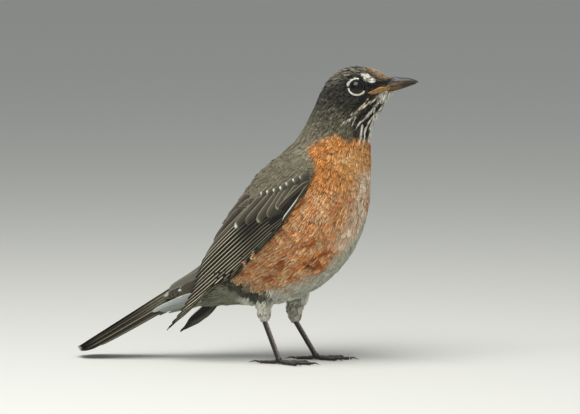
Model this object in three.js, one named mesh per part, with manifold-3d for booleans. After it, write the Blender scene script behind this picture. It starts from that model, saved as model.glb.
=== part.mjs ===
// A life-size American robin (Turdus migratorius), standing upright on the ground and looking ahead.
//
// Millimetres, +Z up. The bird faces +X and its right side is at -Y. The ground is at Z = 0, and the
// origin is on the ground under the middle of the bird's box. The body is one lofted form, parted by
// thin cuts into head, neck, trunk and rump. Wings, tail, thighs, shanks, toes, claws, bill and eyes
// are pieces of their own, each clear of its neighbours by GAP.

import * as THREE from 'three';
import { mergeVertices } from 'three/addons/utils/BufferGeometryUtils.js';
import Module from 'manifold-3d';

const wasm = await Module();
wasm.setup();

// ---------------------------------------------------------------------------------------------
// Driving dimensions
// ---------------------------------------------------------------------------------------------

const GAP = 0.3; // clearance between neighbouring pieces
const FINENESS = 0.06; // facets closer than this to the true form are joined

// The body's cross sections, from the root of the bill to the tips of the tail coverts. Each has its
// point on the back's midline and on the front's midline, as [x, z], its half width, and how far from
// back to front it is widest, as a share.
const BODY = [
  { name: 'bill root', back: [61.0, 165.2], front: [61.2, 159.8], half: 3.2, widest: 0.5 },
  { name: 'forehead', back: [55.1, 168.6], front: [57.5, 154.9], half: 6.4, widest: 0.55 },
  { name: 'crown', back: [46.3, 172.0], front: [52.8, 146.4], half: 9.5, widest: 0.52 },
  { name: 'hind crown', back: [33.2, 172.0], front: [48.9, 138.3], half: 12.2, widest: 0.5 },
  { name: 'nape', back: [21.3, 163.2], front: [47.4, 128.8], half: 13.8, widest: 0.5 },
  { name: 'neck', back: [13.9, 148.5], front: [47.5, 117.2], half: 18.0, widest: 0.52 },
  { name: 'shoulders', back: [3.4, 130.1], front: [47.1, 102.6], half: 25.5, widest: 0.5 },
  { name: 'upper back', back: [-12.6, 116.0], front: [45.2, 85.7], half: 30.5, widest: 0.52 },
  { name: 'mid back', back: [-25.6, 97.9], front: [37.0, 64.2], half: 31.5, widest: 0.54 },
  { name: 'lower back', back: [-38.0, 76.4], front: [18.8, 44.2], half: 27.5, widest: 0.54 },
  { name: 'rump', back: [-47.6, 58.6], front: [-5.1, 33.8], half: 19.5, widest: 0.52 },
  { name: 'tail coverts', back: [-61.2, 47.4], front: [-38.5, 32.0], half: 12.5, widest: 0.5 },
  { name: 'tail root', back: [-76.0, 37.4], front: [-66.4, 27.8], half: 10.6, widest: 0.5 },
  { name: 'covert tips', back: [-83.0, 33.4], front: [-77.0, 24.6], half: 10.0, widest: 0.5 },
];
const CUTS = { headToNeck: 4.3, neckToTrunk: 6.0, trunkToRump: 10.0 }; // in stations
const RINGS_PER_STATION = 2;
const RING_SIDES = 26;

const EYE = { station: 2.775, turn: 75.2, radius: 4.9, sunk: 3.1 }; // turn is from the crown, in degrees

// Bill: [x, top z, bottom z, half width], from inside the head to the tip.
const UPPER_BILL = [
  [49.5, 163.6, 158.6, 5.8],
  [56.3, 166.0, 160.6, 4.3],
  [61.0, 166.3, 161.2, 3.2],
  [65.5, 165.95, 161.85, 2.6],
  [70.0, 165.65, 162.65, 1.8],
  [73.0, 164.85, 163.05, 1.1],
  [75.3, 163.85, 163.35, 0.35],
];
const LOWER_BILL = [
  [46.5, 157.5, 155.2, 7.4],
  [52.2, 159.2, 156.2, 5.6],
  [56.3, 160.3, 157.6, 4.3],
  [62.3, 161.0, 158.5, 2.7],
  [66.5, 161.75, 159.75, 2.0],
  [71.0, 162.5, 161.45, 1.15],
  [74.0, 162.95, 162.55, 0.35],
];
const COMMISSURE_GAP = 0.15; // half the mouth line's width

// Wing: cross sections from the bend of the wing to the tip. The first ones lie on the body: turns
// are from the back's midline, in degrees, and lift is how far the plumage stands off the trunk.
const WING_ON_BODY = [
  { station: 5.72, upper: 60, lower: 66, lift: 1.4 },
  { station: 6.0, upper: 44, lower: 82, lift: 2.2 },
  { station: 6.6, upper: 24, lower: 86, lift: 3.2 },
  { station: 7.3, upper: 12, lower: 85, lift: 3.4 },
  { station: 8.2, upper: 6, lower: 80, lift: 3.8 },
  { station: 9.2, upper: 4, lower: 76, lift: 4.6 },
  { station: 10.0, upper: 7, lower: 78, lift: 5.0 },
];
// The rest hangs free past the flank: [x, y, z] of its upper and lower edges, its outward bulge and
// its thickness.
const WING_FREE = [
  { upper: [-56.6, -10.5, 46.4], lower: [-41.0, -23.5, 45.6], bulge: 2.0, thick: 2.6 },
  { upper: [-63.2, -14.5, 31.4], lower: [-56.2, -21.0, 30.2], bulge: 1.0, thick: 1.6 },
  { upper: [-70.6, -17.0, 18.2], lower: [-70.0, -17.6, 17.6], bulge: 0, thick: 0.8 },
];
const WING_CLEAR = 0.25; // how far the wing's inner face stands off the trunk's gap
const WING_CUT = 0.6; // share of the wing's length where the folded primaries leave the arm
const WING_ALONG = 12;
const WING_ACROSS = 6;
const LEFT_WING_DROOP = 4.4; // the left wing's tip hangs this much lower
const LEFT_WING_SAG = [4.5, 6.5, 0]; // and so does its lower edge at each free section, in addition

// Tail: six feathers a side, stacked like roof tiles with the middle pair on top.
const TAIL = {
  tip: [-126.9, 0, 5.7],
  slope: 32.8, // degrees above the horizontal, from the tip to the root
  length: 78, // of what shows, and of what is held in the coverts
  pairs: 6,
  featherWidth: 13,
  spread: { tip: 1.5, root: 1.3 }, // sideways step from one pair to the next
  step: { tip: 0.8, root: 1.6 }, // downwards step from one pair to the next
  shorter: [0, 0.6, 0.9, 1.2, 2.2, 4.0], // how much each pair stops short of the tip
};
const FEATHER_OVERLAP = 0.4; // extra thickness that joins one tail feather to the next

// Legs. Each path point of a thigh is [x, y, z, radius].
const LEGS = {
  right: {
    side: -1,
    thigh: [
      [-3.5, -13.0, 53, 6.5],
      [-10.6, -15.0, 39.5, 5.7],
      [-12.6, -14.0, 34.5, 4.6],
      [-12.7, -13.1, 29.5, 4.1],
      [-11.6, -13.0, 24.4, 2.5],
    ],
    ankle: [-14.4, -13.0, 30.1],
    foot: [-3.8, -13.0],
    turnedOut: 6,
  },
  left: {
    side: 1,
    thigh: [
      [5.0, 13.0, 51, 6.6],
      [2.6, 15.0, 37.5, 5.7],
      [0.4, 14.0, 32.6, 5.1],
      [-0.4, 13.1, 27.0, 4.7],
      [1.4, 13.0, 21.6, 2.7],
    ],
    ankle: [-2.7, 13.0, 27.4],
    foot: [12.7, 13.0],
    turnedOut: 8,
  },
};
const SHANK = { ankle: 2.1, shaft: 1.62, end: 2.0, flatness: 0.72 }; // radii, and width to depth
const FOOT_KNOB = 2.0; // radius of the ball that the toes spring from
const TOES = [
  { name: 'hallux', turn: 180, length: 11.5, claw: 7.5 },
  { name: 'inner_toe', turn: -30, length: 13.5, claw: 5.2 },
  { name: 'middle_toe', turn: 0, length: 19.5, claw: 5.8 },
  { name: 'outer_toe', turn: 30, length: 14.5, claw: 5.0 },
];
const TOE_RADIUS = { base: 1.25, end: 0.95, padSwell: 0.13, padsPerToe: 3 };
const TOE_SUNK = 0.82; // height of a toe's middle line, as a share of its radius: the rest is the flat
const CLAW = { radius: 0.8, flatness: 0.62, arch: 1.3, clear: 0.05 };

const COLOURS = {
  orange: '#b8622c',
  grey: '#4d4843',
  dark: '#2b2724',
  bill: '#5b4a33',
  shank: '#4a352b',
  claw: '#2a211c',
  eye: '#120d0a',
  pale: '#b9b0a2',
};

// ---------------------------------------------------------------------------------------------
// Shaping helpers
// ---------------------------------------------------------------------------------------------

const radians = THREE.MathUtils.degToRad;
const lerp = THREE.MathUtils.lerp;
const vector = (list) => new THREE.Vector3(...list);

// A closed solid through rings of points, each ring with the same number of points in the same order.
function loft(rings) {
  const sides = rings[0].length;
  const positions = rings.flat().flatMap((p) => [p.x, p.y, p.z]);
  const index = [];
  for (let r = 0; r + 1 < rings.length; r++)
    for (let s = 0; s < sides; s++) {
      const a = r * sides + s;
      const b = r * sides + ((s + 1) % sides);
      index.push(a, b, a + sides, b, b + sides, a + sides);
    }
  for (const [ring, first] of [[rings[0], 0], [rings.at(-1), (rings.length - 1) * sides]]) {
    const middle = ring.reduce((sum, p) => sum.add(p), new THREE.Vector3()).divideScalar(sides);
    const centre = positions.length / 3;
    positions.push(middle.x, middle.y, middle.z);
    for (let s = 0; s < sides; s++) {
      const pair = [first + s, first + ((s + 1) % sides)];
      index.push(...(first ? pair : pair.reverse()), centre);
    }
  }
  const geometry = new THREE.BufferGeometry();
  geometry.setAttribute('position', new THREE.Float32BufferAttribute(positions, 3));
  geometry.setIndex(index);
  return solid(geometry);
}

// A three.js geometry as a manifold-3d solid with its faces pointing out.
function solid(geometry) {
  const bare = geometry.clone();
  bare.deleteAttribute('normal');
  bare.deleteAttribute('uv');
  const merged = mergeVertices(bare, 1e-4);
  const vertProperties = new Float32Array(merged.attributes.position.array);
  const triVerts = new Uint32Array(merged.index.array);
  const made = new wasm.Manifold(new wasm.Mesh({ numProp: 3, vertProperties, triVerts }));
  if (made.volume() > 0) return made;
  for (let i = 0; i < triVerts.length; i += 3)
    [triVerts[i + 1], triVerts[i + 2]] = [triVerts[i + 2], triVerts[i + 1]];
  return new wasm.Manifold(new wasm.Mesh({ numProp: 3, vertProperties, triVerts }));
}

// The largest body of a solid that a cut may have left in several.
function largest(made) {
  return made.decompose().sort((a, b) => b.volume() - a.volume())[0];
}

// A ring round a point: across and up are unit vectors, with a radius along each.
function ringAt(centre, across, up, acrossRadius, upRadius, sides) {
  return Array.from({ length: sides }, (_, s) => {
    const turn = (2 * Math.PI * s) / sides;
    return centre
      .clone()
      .addScaledVector(across, acrossRadius * Math.cos(turn))
      .addScaledVector(up, upRadius * Math.sin(turn));
  });
}

// A limb along a smooth path. radiusAt(share) is its radius, and flatness its width to its depth.
function limb(path, radiusAt, { steps, sides, flatness = 1 }) {
  const curve = new THREE.CatmullRomCurve3(path);
  const rings = Array.from({ length: steps + 1 }, (_, i) => {
    const share = i / steps;
    const along = curve.getTangent(share);
    const across = new THREE.Vector3(0, 1, 0).cross(along).normalize();
    const sideways = along.clone().cross(across).normalize();
    const radius = radiusAt(share);
    return ringAt(curve.getPoint(share), sideways, across, radius * flatness, radius, sides);
  });
  return loft(rings);
}

const parts = new THREE.Group();

// Adds a solid to the bird as a named mesh.
function addPiece(name, made, colour, roughness = 0.8) {
  const { vertProperties, triVerts } = made.simplify(FINENESS).getMesh();
  const geometry = new THREE.BufferGeometry();
  geometry.setAttribute('position', new THREE.Float32BufferAttribute(vertProperties, 3));
  geometry.setIndex(new THREE.BufferAttribute(triVerts, 1));
  geometry.computeVertexNormals();
  const material = new THREE.MeshStandardMaterial({ color: colour, roughness, metalness: 0 });
  const mesh = new THREE.Mesh(geometry, material);
  mesh.name = name;
  parts.add(mesh);
}

// ---------------------------------------------------------------------------------------------
// Body
// ---------------------------------------------------------------------------------------------

const backLine = new THREE.CatmullRomCurve3(BODY.map(({ back }) => vector([back[0], 0, back[1]])));
const frontLine = new THREE.CatmullRomCurve3(BODY.map(({ front }) => vector([front[0], 0, front[1]])));
const girthLine = new THREE.CatmullRomCurve3(BODY.map(({ half, widest }) => vector([half, widest, 0])));
const LAST_STATION = BODY.length - 1;

// The body's surface at a station, turned from the back's midline towards the right side, and grown.
function bodyPoint(station, turn, grow = 0) {
  const share = THREE.MathUtils.clamp(station / LAST_STATION, 0, 1);
  const back = backLine.getPoint(share);
  const front = frontLine.getPoint(share);
  const girth = girthLine.getPoint(share);
  const centre = back.clone().lerp(front, girth.y);
  const up = back.clone().sub(front).normalize();
  const reach = Math.cos(turn) > 0 ? back.distanceTo(centre) : front.distanceTo(centre);
  const side = -(girth.x + grow) * Math.sin(turn);
  return centre.addScaledVector(up, (reach + grow) * Math.cos(turn)).setY(side);
}

function bodySolid(grow = 0) {
  const rings = [];
  const count = LAST_STATION * RINGS_PER_STATION;
  for (let i = 0; i <= count; i++) {
    const station = i / RINGS_PER_STATION;
    rings.push(
      Array.from({ length: RING_SIDES }, (_, s) => bodyPoint(station, (2 * Math.PI * s) / RING_SIDES, grow)),
    );
  }
  return loft(rings);
}

// The plane of the body's section at a station: its normal points towards the tail.
function sectionPlane(station) {
  const back = bodyPoint(station, 0);
  const front = bodyPoint(station, Math.PI);
  const normal = front.sub(back).cross(new THREE.Vector3(0, 1, 0)).normalize();
  if (normal.dot(bodyPoint(station + 0.5, 0).sub(back)) < 0) normal.negate();
  return { normal, offset: normal.dot(back) };
}

// The stretch of a solid between two stations, each end drawn in by half a gap.
function stretch(made, from, to) {
  let piece = made;
  if (from !== null) {
    const { normal, offset } = sectionPlane(from);
    piece = piece.trimByPlane(normal.toArray(), offset + GAP / 2);
  }
  if (to !== null) {
    const { normal, offset } = sectionPlane(to);
    piece = piece.trimByPlane(normal.negate().toArray(), GAP / 2 - offset);
  }
  return piece;
}

// ---------------------------------------------------------------------------------------------
// Bill and eyes
// ---------------------------------------------------------------------------------------------

// Half a bill: domed on one side, and flat along the mouth line on the other.
function billHalf(stations, dome, grow = 0) {
  const curve = new THREE.CatmullRomCurve3(stations.map(([x, top, bottom]) => vector([x, top, bottom])));
  const widths = new THREE.CatmullRomCurve3(stations.map(([x, , , half]) => vector([x, half, 0])));
  const steps = (stations.length - 1) * 2;
  const sides = 10;
  const rings = Array.from({ length: steps + 1 }, (_, i) => {
    const { x, y: top, z: bottom } = curve.getPoint(i / steps);
    const half = widths.getPoint(i / steps).y + grow;
    const mouth = dome > 0 ? bottom : top;
    const ridge = dome > 0 ? top : bottom;
    return Array.from({ length: sides }, (_, s) => {
      const turn = (2 * Math.PI * s) / sides;
      const rise = Math.sin(turn);
      const z = rise * dome > 0
        ? lerp(mouth, ridge, Math.abs(rise) ** 0.9) + dome * Math.abs(rise) * grow
        : mouth + dome * (COMMISSURE_GAP - grow);
      const y = half * Math.cos(turn);
      return new THREE.Vector3(x, y, z + (rise * dome > 0 ? dome * COMMISSURE_GAP : 0));
    });
  });
  return loft(rings);
}

function eyeCentre(side) {
  const turn = radians(EYE.turn);
  const surface = bodyPoint(EYE.station, turn);
  return surface.add(vector([0, EYE.sunk, 0])).multiply(vector([1, -side, 1]));
}

function eyeball(side, grow = 0) {
  const centre = eyeCentre(side);
  const ball = new THREE.SphereGeometry(EYE.radius + grow, 12, 8);
  return solid(ball.translate(centre.x, centre.y, centre.z));
}

// ---------------------------------------------------------------------------------------------
// Wings
// ---------------------------------------------------------------------------------------------

// Rows of points across the wing's outer and inner faces, from its upper to its lower edge, at each
// of its sections.
function wingRows({ droop, sag }) {
  const across = Array.from({ length: WING_ACROSS + 1 }, (_, j) => j / WING_ACROSS);
  const onBody = (section, liftAt) =>
    across.map((share) => {
      const turn = radians(lerp(section.upper, section.lower, share));
      return bodyPoint(section.station, turn, GAP + liftAt(section, share));
    });
  const free = WING_FREE.map(({ upper, lower, bulge }, i) =>
    across.map((share) => {
      const point = vector(upper).lerp(vector(lower), share);
      point.y -= bulge * 4 * share * (1 - share);
      point.z -= (droop * (i + 1)) / WING_FREE.length + sag[i] * share;
      return point;
    }),
  );
  const inward = free.map((row, i) => {
    const along = free[Math.min(i + 1, free.length - 1)][0].clone().sub(free[Math.max(i - 1, 0)][0]);
    const normal = along.cross(vector(WING_FREE[i].lower).sub(vector(WING_FREE[i].upper))).normalize();
    return row.map((point) => point.clone().addScaledVector(normal, Math.sign(normal.y) * WING_FREE[i].thick));
  });
  const domed = ({ lift }, share) => lift * (1 - Math.abs(2 * share - 1) ** 4 * 0.55);
  return {
    outer: [...WING_ON_BODY.map((section) => onBody(section, domed)), ...free],
    inner: [...WING_ON_BODY.map((section) => onBody(section, () => WING_CLEAR)), ...inward],
  };
}

// The right wing as a curved slab, from one share of its length to another.
function wingSlab(hang, from, to) {
  const { outer, inner } = wingRows(hang);
  const threads = (rows) => rows[0].map((_, j) => new THREE.CatmullRomCurve3(rows.map((row) => row[j])));
  const faces = [threads(outer), threads(inner).toReversed()].flat();
  return loft(
    Array.from({ length: WING_ALONG + 1 }, (_, i) => faces.map((thread) => thread.getPoint(lerp(from, to, i / WING_ALONG)))),
  );
}

// ---------------------------------------------------------------------------------------------
// Tail
// ---------------------------------------------------------------------------------------------

// One tail feather: a thin flat blade with a round end. pair 0 is the middle pair.
function tailFeather(pair, side, grow = 0) {
  const slope = radians(TAIL.slope);
  const along = vector([Math.cos(slope), 0, Math.sin(slope)]);
  const up = vector([-Math.sin(slope), 0, Math.cos(slope)]);
  const across = vector([0, 1, 0]);
  const shares = [0, 0.015, 0.05, 0.1, 0.45, 1];
  const rings = shares.map((share) => {
    const down = share * TAIL.length;
    const round = Math.min(1, Math.sqrt(1 - (1 - Math.min(1, share / 0.09)) ** 2) + 0.25);
    const half = ((TAIL.featherWidth * lerp(1, 0.62, share)) / 2) * Math.min(1, round) + grow;
    const step = lerp(TAIL.step.tip, TAIL.step.root, share ** 0.6);
    const spread = lerp(TAIL.spread.tip, TAIL.spread.root, share);
    const thick = (step + FEATHER_OVERLAP) / 2 + grow;
    const centre = vector(TAIL.tip)
      .addScaledVector(along, down + TAIL.shorter[pair] * (1 - share) - (share === 0 ? grow : 0))
      .addScaledVector(up, -pair * step - thick + grow)
      .addScaledVector(across, side * (pair + 0.5) * spread);
    return ringAt(centre, across, up, half, thick, 6);
  });
  return loft(rings);
}

function tailSolid(grow = 0) {
  let made = tailFeather(0, 1, grow).add(tailFeather(0, -1, grow));
  for (let pair = 1; pair < TAIL.pairs; pair++)
    for (const side of [1, -1]) made = made.add(tailFeather(pair, side, grow));
  return made;
}

// ---------------------------------------------------------------------------------------------
// Legs
// ---------------------------------------------------------------------------------------------

function thighSolid({ thigh }, grow = 0) {
  const radii = new THREE.CatmullRomCurve3(thigh.map(([, , , r]) => vector([r, 0, 0])));
  const path = thigh.map(([x, y, z]) => vector([x, y, z]));
  return limb(path, (share) => radii.getPoint(share).x + grow, { steps: 7, sides: 12 });
}

// The bare shank, with its ankle joint and the ball that the toes spring from.
function shankSolid({ ankle, foot }, grow = 0) {
  const top = vector(ankle);
  const bottom = vector([foot[0], foot[1], FOOT_KNOB]);
  const path = [0, 0.1, 0.5, 0.9, 1].map((share) => top.clone().lerp(bottom, share));
  const radiusAt = (share) => {
    const ankleSwell = (SHANK.ankle - SHANK.shaft) * Math.exp(-((share / 0.13) ** 2));
    const endSwell = (SHANK.end - SHANK.shaft) * Math.exp(-(((1 - share) / 0.1) ** 2));
    return SHANK.shaft + ankleSwell + endSwell + grow;
  };
  const shaft = limb(path, radiusAt, { steps: 9, sides: 8, flatness: SHANK.flatness });
  const ankleBall = new THREE.SphereGeometry(SHANK.ankle + grow, 8, 6).translate(...ankle);
  const footBall = new THREE.SphereGeometry(FOOT_KNOB + grow, 8, 6).translate(foot[0], foot[1], FOOT_KNOB);
  return shaft.add(solid(ankleBall)).add(solid(footBall));
}

// The direction that a toe points in, on the ground.
function toeHeading({ side, turnedOut }, toe) {
  const turn = radians((toe.turn + turnedOut) * side);
  return vector([Math.cos(turn), Math.sin(turn), 0]);
}

function toeSolid(leg, toe, grow = 0) {
  const heading = toeHeading(leg, toe);
  const start = vector([leg.foot[0], leg.foot[1], FOOT_KNOB * 0.85]);
  const low = (share) => lerp(TOE_RADIUS.base, TOE_RADIUS.end, share) * TOE_SUNK;
  const path = [0, 0.3, 0.65, 1].map((share) =>
    start.clone().addScaledVector(heading, toe.length * share).setZ(Math.max(low(share), start.z - share * 4)),
  );
  const radiusAt = (share) => {
    const pads = TOE_RADIUS.padSwell * Math.cos(2 * Math.PI * TOE_RADIUS.padsPerToe * share);
    return lerp(TOE_RADIUS.base, TOE_RADIUS.end, share) + pads + grow;
  };
  return limb(path, radiusAt, { steps: 6, sides: 8 });
}

// A claw: a curved taper that starts just clear of its toe and points down to the ground.
function clawSolid(leg, toe) {
  const heading = toeHeading(leg, toe);
  const root = vector([leg.foot[0], leg.foot[1], 0]).addScaledVector(heading, toe.length + GAP);
  const height = TOE_RADIUS.end * TOE_SUNK;
  const path = [0, 0.35, 0.7, 1].map((share) => {
    const rise = height + CLAW.arch * Math.sin(Math.PI * Math.min(1, share * 1.15)) * (1 - share) * 0.9;
    const low = CLAW.clear + CLAW.radius * 0.25;
    return root.clone().addScaledVector(heading, toe.claw * share).setZ(lerp(rise, low, share ** 1.8));
  });
  const radiusAt = (share) => CLAW.radius * Math.max(0.16, 1 - share);
  return limb(path, radiusAt, { steps: 5, sides: 6, flatness: CLAW.flatness })
    .trimByPlane([0, 0, 1], CLAW.clear);
}

// ---------------------------------------------------------------------------------------------
// The bird
// ---------------------------------------------------------------------------------------------

const above = (made, height) => made.trimByPlane([0, 0, 1], height);

const upperBill = billHalf(UPPER_BILL, 1);
const lowerBill = billHalf(LOWER_BILL, -1);
const billRoom = billHalf(UPPER_BILL, 1, GAP).add(billHalf(LOWER_BILL, -1, GAP));
const legs = Object.entries(LEGS);
const legRoom = legs.map(([, leg]) => thighSolid(leg, GAP).add(shankSolid(leg, GAP)));

const whole = bodySolid().subtract(billRoom);
const head = stretch(whole, null, CUTS.headToNeck)
  .subtract(eyeball(1, GAP))
  .subtract(eyeball(-1, GAP));
const neck = stretch(whole, CUTS.headToNeck, CUTS.neckToTrunk);
const legsRoom = legRoom[0].add(legRoom[1]);
const trunk = stretch(whole, CUTS.neckToTrunk, CUTS.trunkToRump).subtract(legsRoom);
const rump = stretch(whole, CUTS.trunkToRump, null).subtract(legsRoom).subtract(tailSolid(GAP).hull());

addPiece('head', largest(head), COLOURS.dark);
addPiece('neck', neck, COLOURS.grey);
addPiece('trunk', largest(trunk), COLOURS.orange);
addPiece('rump', largest(rump), COLOURS.grey);
addPiece('tail', tailSolid(), COLOURS.dark);
addPiece('bill_upper', upperBill, COLOURS.bill, 0.4);
addPiece('bill_lower', lowerBill, COLOURS.bill, 0.4);
addPiece('eye_right', eyeball(-1), COLOURS.eye, 0.1);
addPiece('eye_left', eyeball(1), COLOURS.eye, 0.1);

const bodyRoom = bodySolid(GAP).add(tailSolid(GAP).hull());
for (const [name, side] of [['right', 1], ['left', -1]]) {
  const hang = side > 0 ? { droop: 0, sag: [0, 0, 0] } : { droop: LEFT_WING_DROOP, sag: LEFT_WING_SAG };
  const cut = GAP / 2 / 150;
  for (const [piece, from, to] of [['wing', 0, WING_CUT - cut], ['primaries', WING_CUT + cut, 1]]) {
    const slab = wingSlab(hang, from, to).scale([1, side, 1]);
    const made = largest(slab.subtract(bodyRoom).subtract(legsRoom));
    addPiece(`${piece}_${name}`, made, COLOURS.grey);
  }
}

for (const [name, leg] of legs) {
  const shank = above(shankSolid(leg), 0);
  const thigh = largest(thighSolid(leg).subtract(shankSolid(leg, GAP)));
  addPiece(`thigh_${name}`, thigh, COLOURS.pale);
  addPiece(`shank_${name}`, shank, COLOURS.shank, 0.5);
  const middle = toeSolid(leg, TOES[2], GAP);
  for (const toe of TOES) {
    let made = above(toeSolid(leg, toe).subtract(shankSolid(leg, GAP)), 0);
    if (toe.turn && Math.abs(toe.turn) < 90) made = made.subtract(middle);
    addPiece(`${toe.name}_${name}`, largest(made), COLOURS.shank, 0.5);
    addPiece(`${toe.name}_claw_${name}`, largest(clawSolid(leg, toe)), COLOURS.claw, 0.4);
  }
}

// The ground is at Z = 0, and the origin is under the middle of the bird's box.
const box = new THREE.Box3().setFromObject(parts);
const middle = box.getCenter(new THREE.Vector3());
parts.position.set(-middle.x, -middle.y, -box.min.z);

const robin = new THREE.Group();
robin.add(parts);

export default robin;
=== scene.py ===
# %% [markdown]
# # An American robin, life size
#
# A robin's body is soft skin under several thousand small feathers, with stiff flight feathers folded
# along each side and a long tail of twelve more. What the eye sees is almost all feathers, so that is
# how this model is built: one smooth skin, set in from the outline by the depth of the coat, and then
# real, separate feathers laid over it, each one a thin closed shape that follows the body. The bill,
# eyes, legs and claws are bare, and are modelled on their own.
#
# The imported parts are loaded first. They never move: they say where everything goes.

# %% Load the frame
import bpy, math
from itertools import product
import numpy as np
from mathutils import Vector, Matrix
from mathutils.bvhtree import BVHTree


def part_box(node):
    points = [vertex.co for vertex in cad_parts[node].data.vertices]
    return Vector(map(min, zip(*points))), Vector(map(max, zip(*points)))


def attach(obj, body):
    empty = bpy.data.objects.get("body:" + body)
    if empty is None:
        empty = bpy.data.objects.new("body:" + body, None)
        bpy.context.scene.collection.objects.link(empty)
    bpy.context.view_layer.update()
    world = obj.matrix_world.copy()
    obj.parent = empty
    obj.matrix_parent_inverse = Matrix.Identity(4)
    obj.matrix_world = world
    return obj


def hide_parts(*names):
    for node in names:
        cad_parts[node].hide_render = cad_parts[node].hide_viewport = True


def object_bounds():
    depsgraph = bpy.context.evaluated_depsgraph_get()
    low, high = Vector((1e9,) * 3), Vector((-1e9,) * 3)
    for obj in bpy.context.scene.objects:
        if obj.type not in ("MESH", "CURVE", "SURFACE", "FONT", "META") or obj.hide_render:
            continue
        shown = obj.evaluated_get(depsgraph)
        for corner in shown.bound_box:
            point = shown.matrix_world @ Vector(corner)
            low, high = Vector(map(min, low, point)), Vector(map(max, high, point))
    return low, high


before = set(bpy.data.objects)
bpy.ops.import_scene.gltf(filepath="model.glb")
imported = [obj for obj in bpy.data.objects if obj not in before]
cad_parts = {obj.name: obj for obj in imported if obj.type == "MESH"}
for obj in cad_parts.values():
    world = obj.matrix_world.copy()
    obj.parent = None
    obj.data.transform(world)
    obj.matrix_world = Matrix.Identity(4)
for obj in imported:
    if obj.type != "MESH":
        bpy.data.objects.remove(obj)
cad_box = [list(corner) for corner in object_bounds()]
rng = np.random.default_rng(11)
MM = 0.001
FRONT = cad_box[1][0] / MM - 75.3  # the bill's tip is 75.3 mm in front of the bird's own origin
print("box of the frame, mm:", [[round(v / MM, 1) for v in corner] for corner in cad_box])

# %% [markdown]
# ## Places on the bird
#
# Sizes are given in millimetres in the bird's own frame: x towards the bill, y to its left, z up from
# the ground. Marks on a bird are symmetrical, so they are drawn once on a chart of its side, a
# slightly turned side view that wraps round the breast and the back, and they show on both sides.

# %% Bird frame and side chart
def place(x, y, z):
    """A point of the bird, in millimetres, as a point of the scene."""
    return Vector(((x + FRONT) * MM, y * MM, z * MM))


def to_bird(points):
    """Points of the scene as millimetres in the bird's own frame."""
    return np.asarray(points, float).reshape(-1, 3) / MM - (FRONT, 0, 0)


def chart(bird_points):
    """Where points of the bird fall on the side chart: across it and up it, in millimetres."""
    x, y, z = bird_points.T  # the factors are sines and cosines of a view 12 degrees round and 5 above
    return 0.978 * x - 0.208 * abs(y), 0.996 * z - 0.018 * x - 0.085 * abs(y)


def deselect():
    bpy.ops.object.select_all(action="DESELECT")


def choose(*objects):
    """Selects these objects, the last of them active."""
    deselect()
    for thing in objects:
        thing.select_set(True)
    bpy.context.view_layer.objects.active = objects[-1]


def apply_all(thing):
    """Applies an object's modifiers in order."""
    choose(thing)
    for modifier in list(thing.modifiers):
        bpy.ops.object.modifier_apply(modifier=modifier.name)


def edit(thing, operator, everything=True, **options):
    """Runs an edit-mode operator on all of an object, or on what is selected in it."""
    choose(thing)
    bpy.ops.object.mode_set(mode="EDIT")
    if everything:
        bpy.ops.mesh.select_all(action="SELECT")
    operator(**options)
    bpy.ops.object.mode_set(mode="OBJECT")


def coordinates(thing):
    """An object's vertex positions as an array."""
    flat = np.empty(len(thing.data.vertices) * 3, np.float32)
    thing.data.vertices.foreach_get("co", flat)
    return flat.reshape(-1, 3).astype(float)


def move_points(thing, points):
    """Sets an object's vertex positions from an array."""
    thing.data.vertices.foreach_set("co", points.astype(np.float32).ravel())
    thing.data.update()


def point_normals(thing):
    return np.array([vertex.normal for vertex in thing.data.vertices])


def unit(ways):
    """Directions made one unit long."""
    return ways / (np.linalg.norm(ways, axis=-1)[..., None] + 1e-9)


def level_of(line, place):
    """The height of a line of given points at places along it."""
    return np.interp(place, *np.array(line).T)


def smooth_step(low, high, value):
    """A share that eases from 0 at the first value to 1 at the second."""
    share = np.clip((value - low) / (high - low), 0, 1)
    return share * share * (3 - 2 * share)

# %% [markdown]
# ## Camera
#
# The bird is seen from its right, 12 degrees round towards its front and 5 degrees above level, with a
# long lens from three metres away, as a bird is watched through a telescope.

# %% Camera
CAMERA_ROUND, CAMERA_ABOVE = math.radians(12), math.radians(5)
CAMERA_AWAY = 3000
VIEW_WIDTH = 336.4  # millimetres across the frame at the bird
VIEW_MIDDLE = 90.1  # and how high the middle of the frame is
SENSOR = 36
back = Vector((
    math.sin(CAMERA_ROUND) * math.cos(CAMERA_ABOVE),
    -math.cos(CAMERA_ROUND) * math.cos(CAMERA_ABOVE),
    math.sin(CAMERA_ABOVE),
))
deselect()
bpy.ops.object.camera_add(location=place(0, 0, VIEW_MIDDLE) + back * CAMERA_AWAY * MM)
camera = bpy.context.object
camera.name = "camera"
camera.data.sensor_width = SENSOR
camera.data.lens = SENSOR * CAMERA_AWAY / VIEW_WIDTH
camera.data.clip_end = 20
camera.rotation_euler = (-back).to_track_quat("-Z", "Y").to_euler()
bpy.context.scene.camera = camera
print("lens, mm:", round(camera.data.lens, 1))

# %% [markdown]
# ## Colours
#
# Colours are written as screen hex values, which people can read, and turned into the linear light
# values that the renderer needs. The palette is small: soot, two greys, a rufous orange and whites.

# %% Palette
def linear(hex_colour):
    """A screen colour such as '#b8622c' as linear red, green and blue."""
    values = np.array([int(hex_colour[i:i + 2], 16) / 255 for i in (1, 3, 5)])
    return np.where(values <= 0.04045, values / 12.92, ((values + 0.055) / 1.055) ** 2.4)


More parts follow.
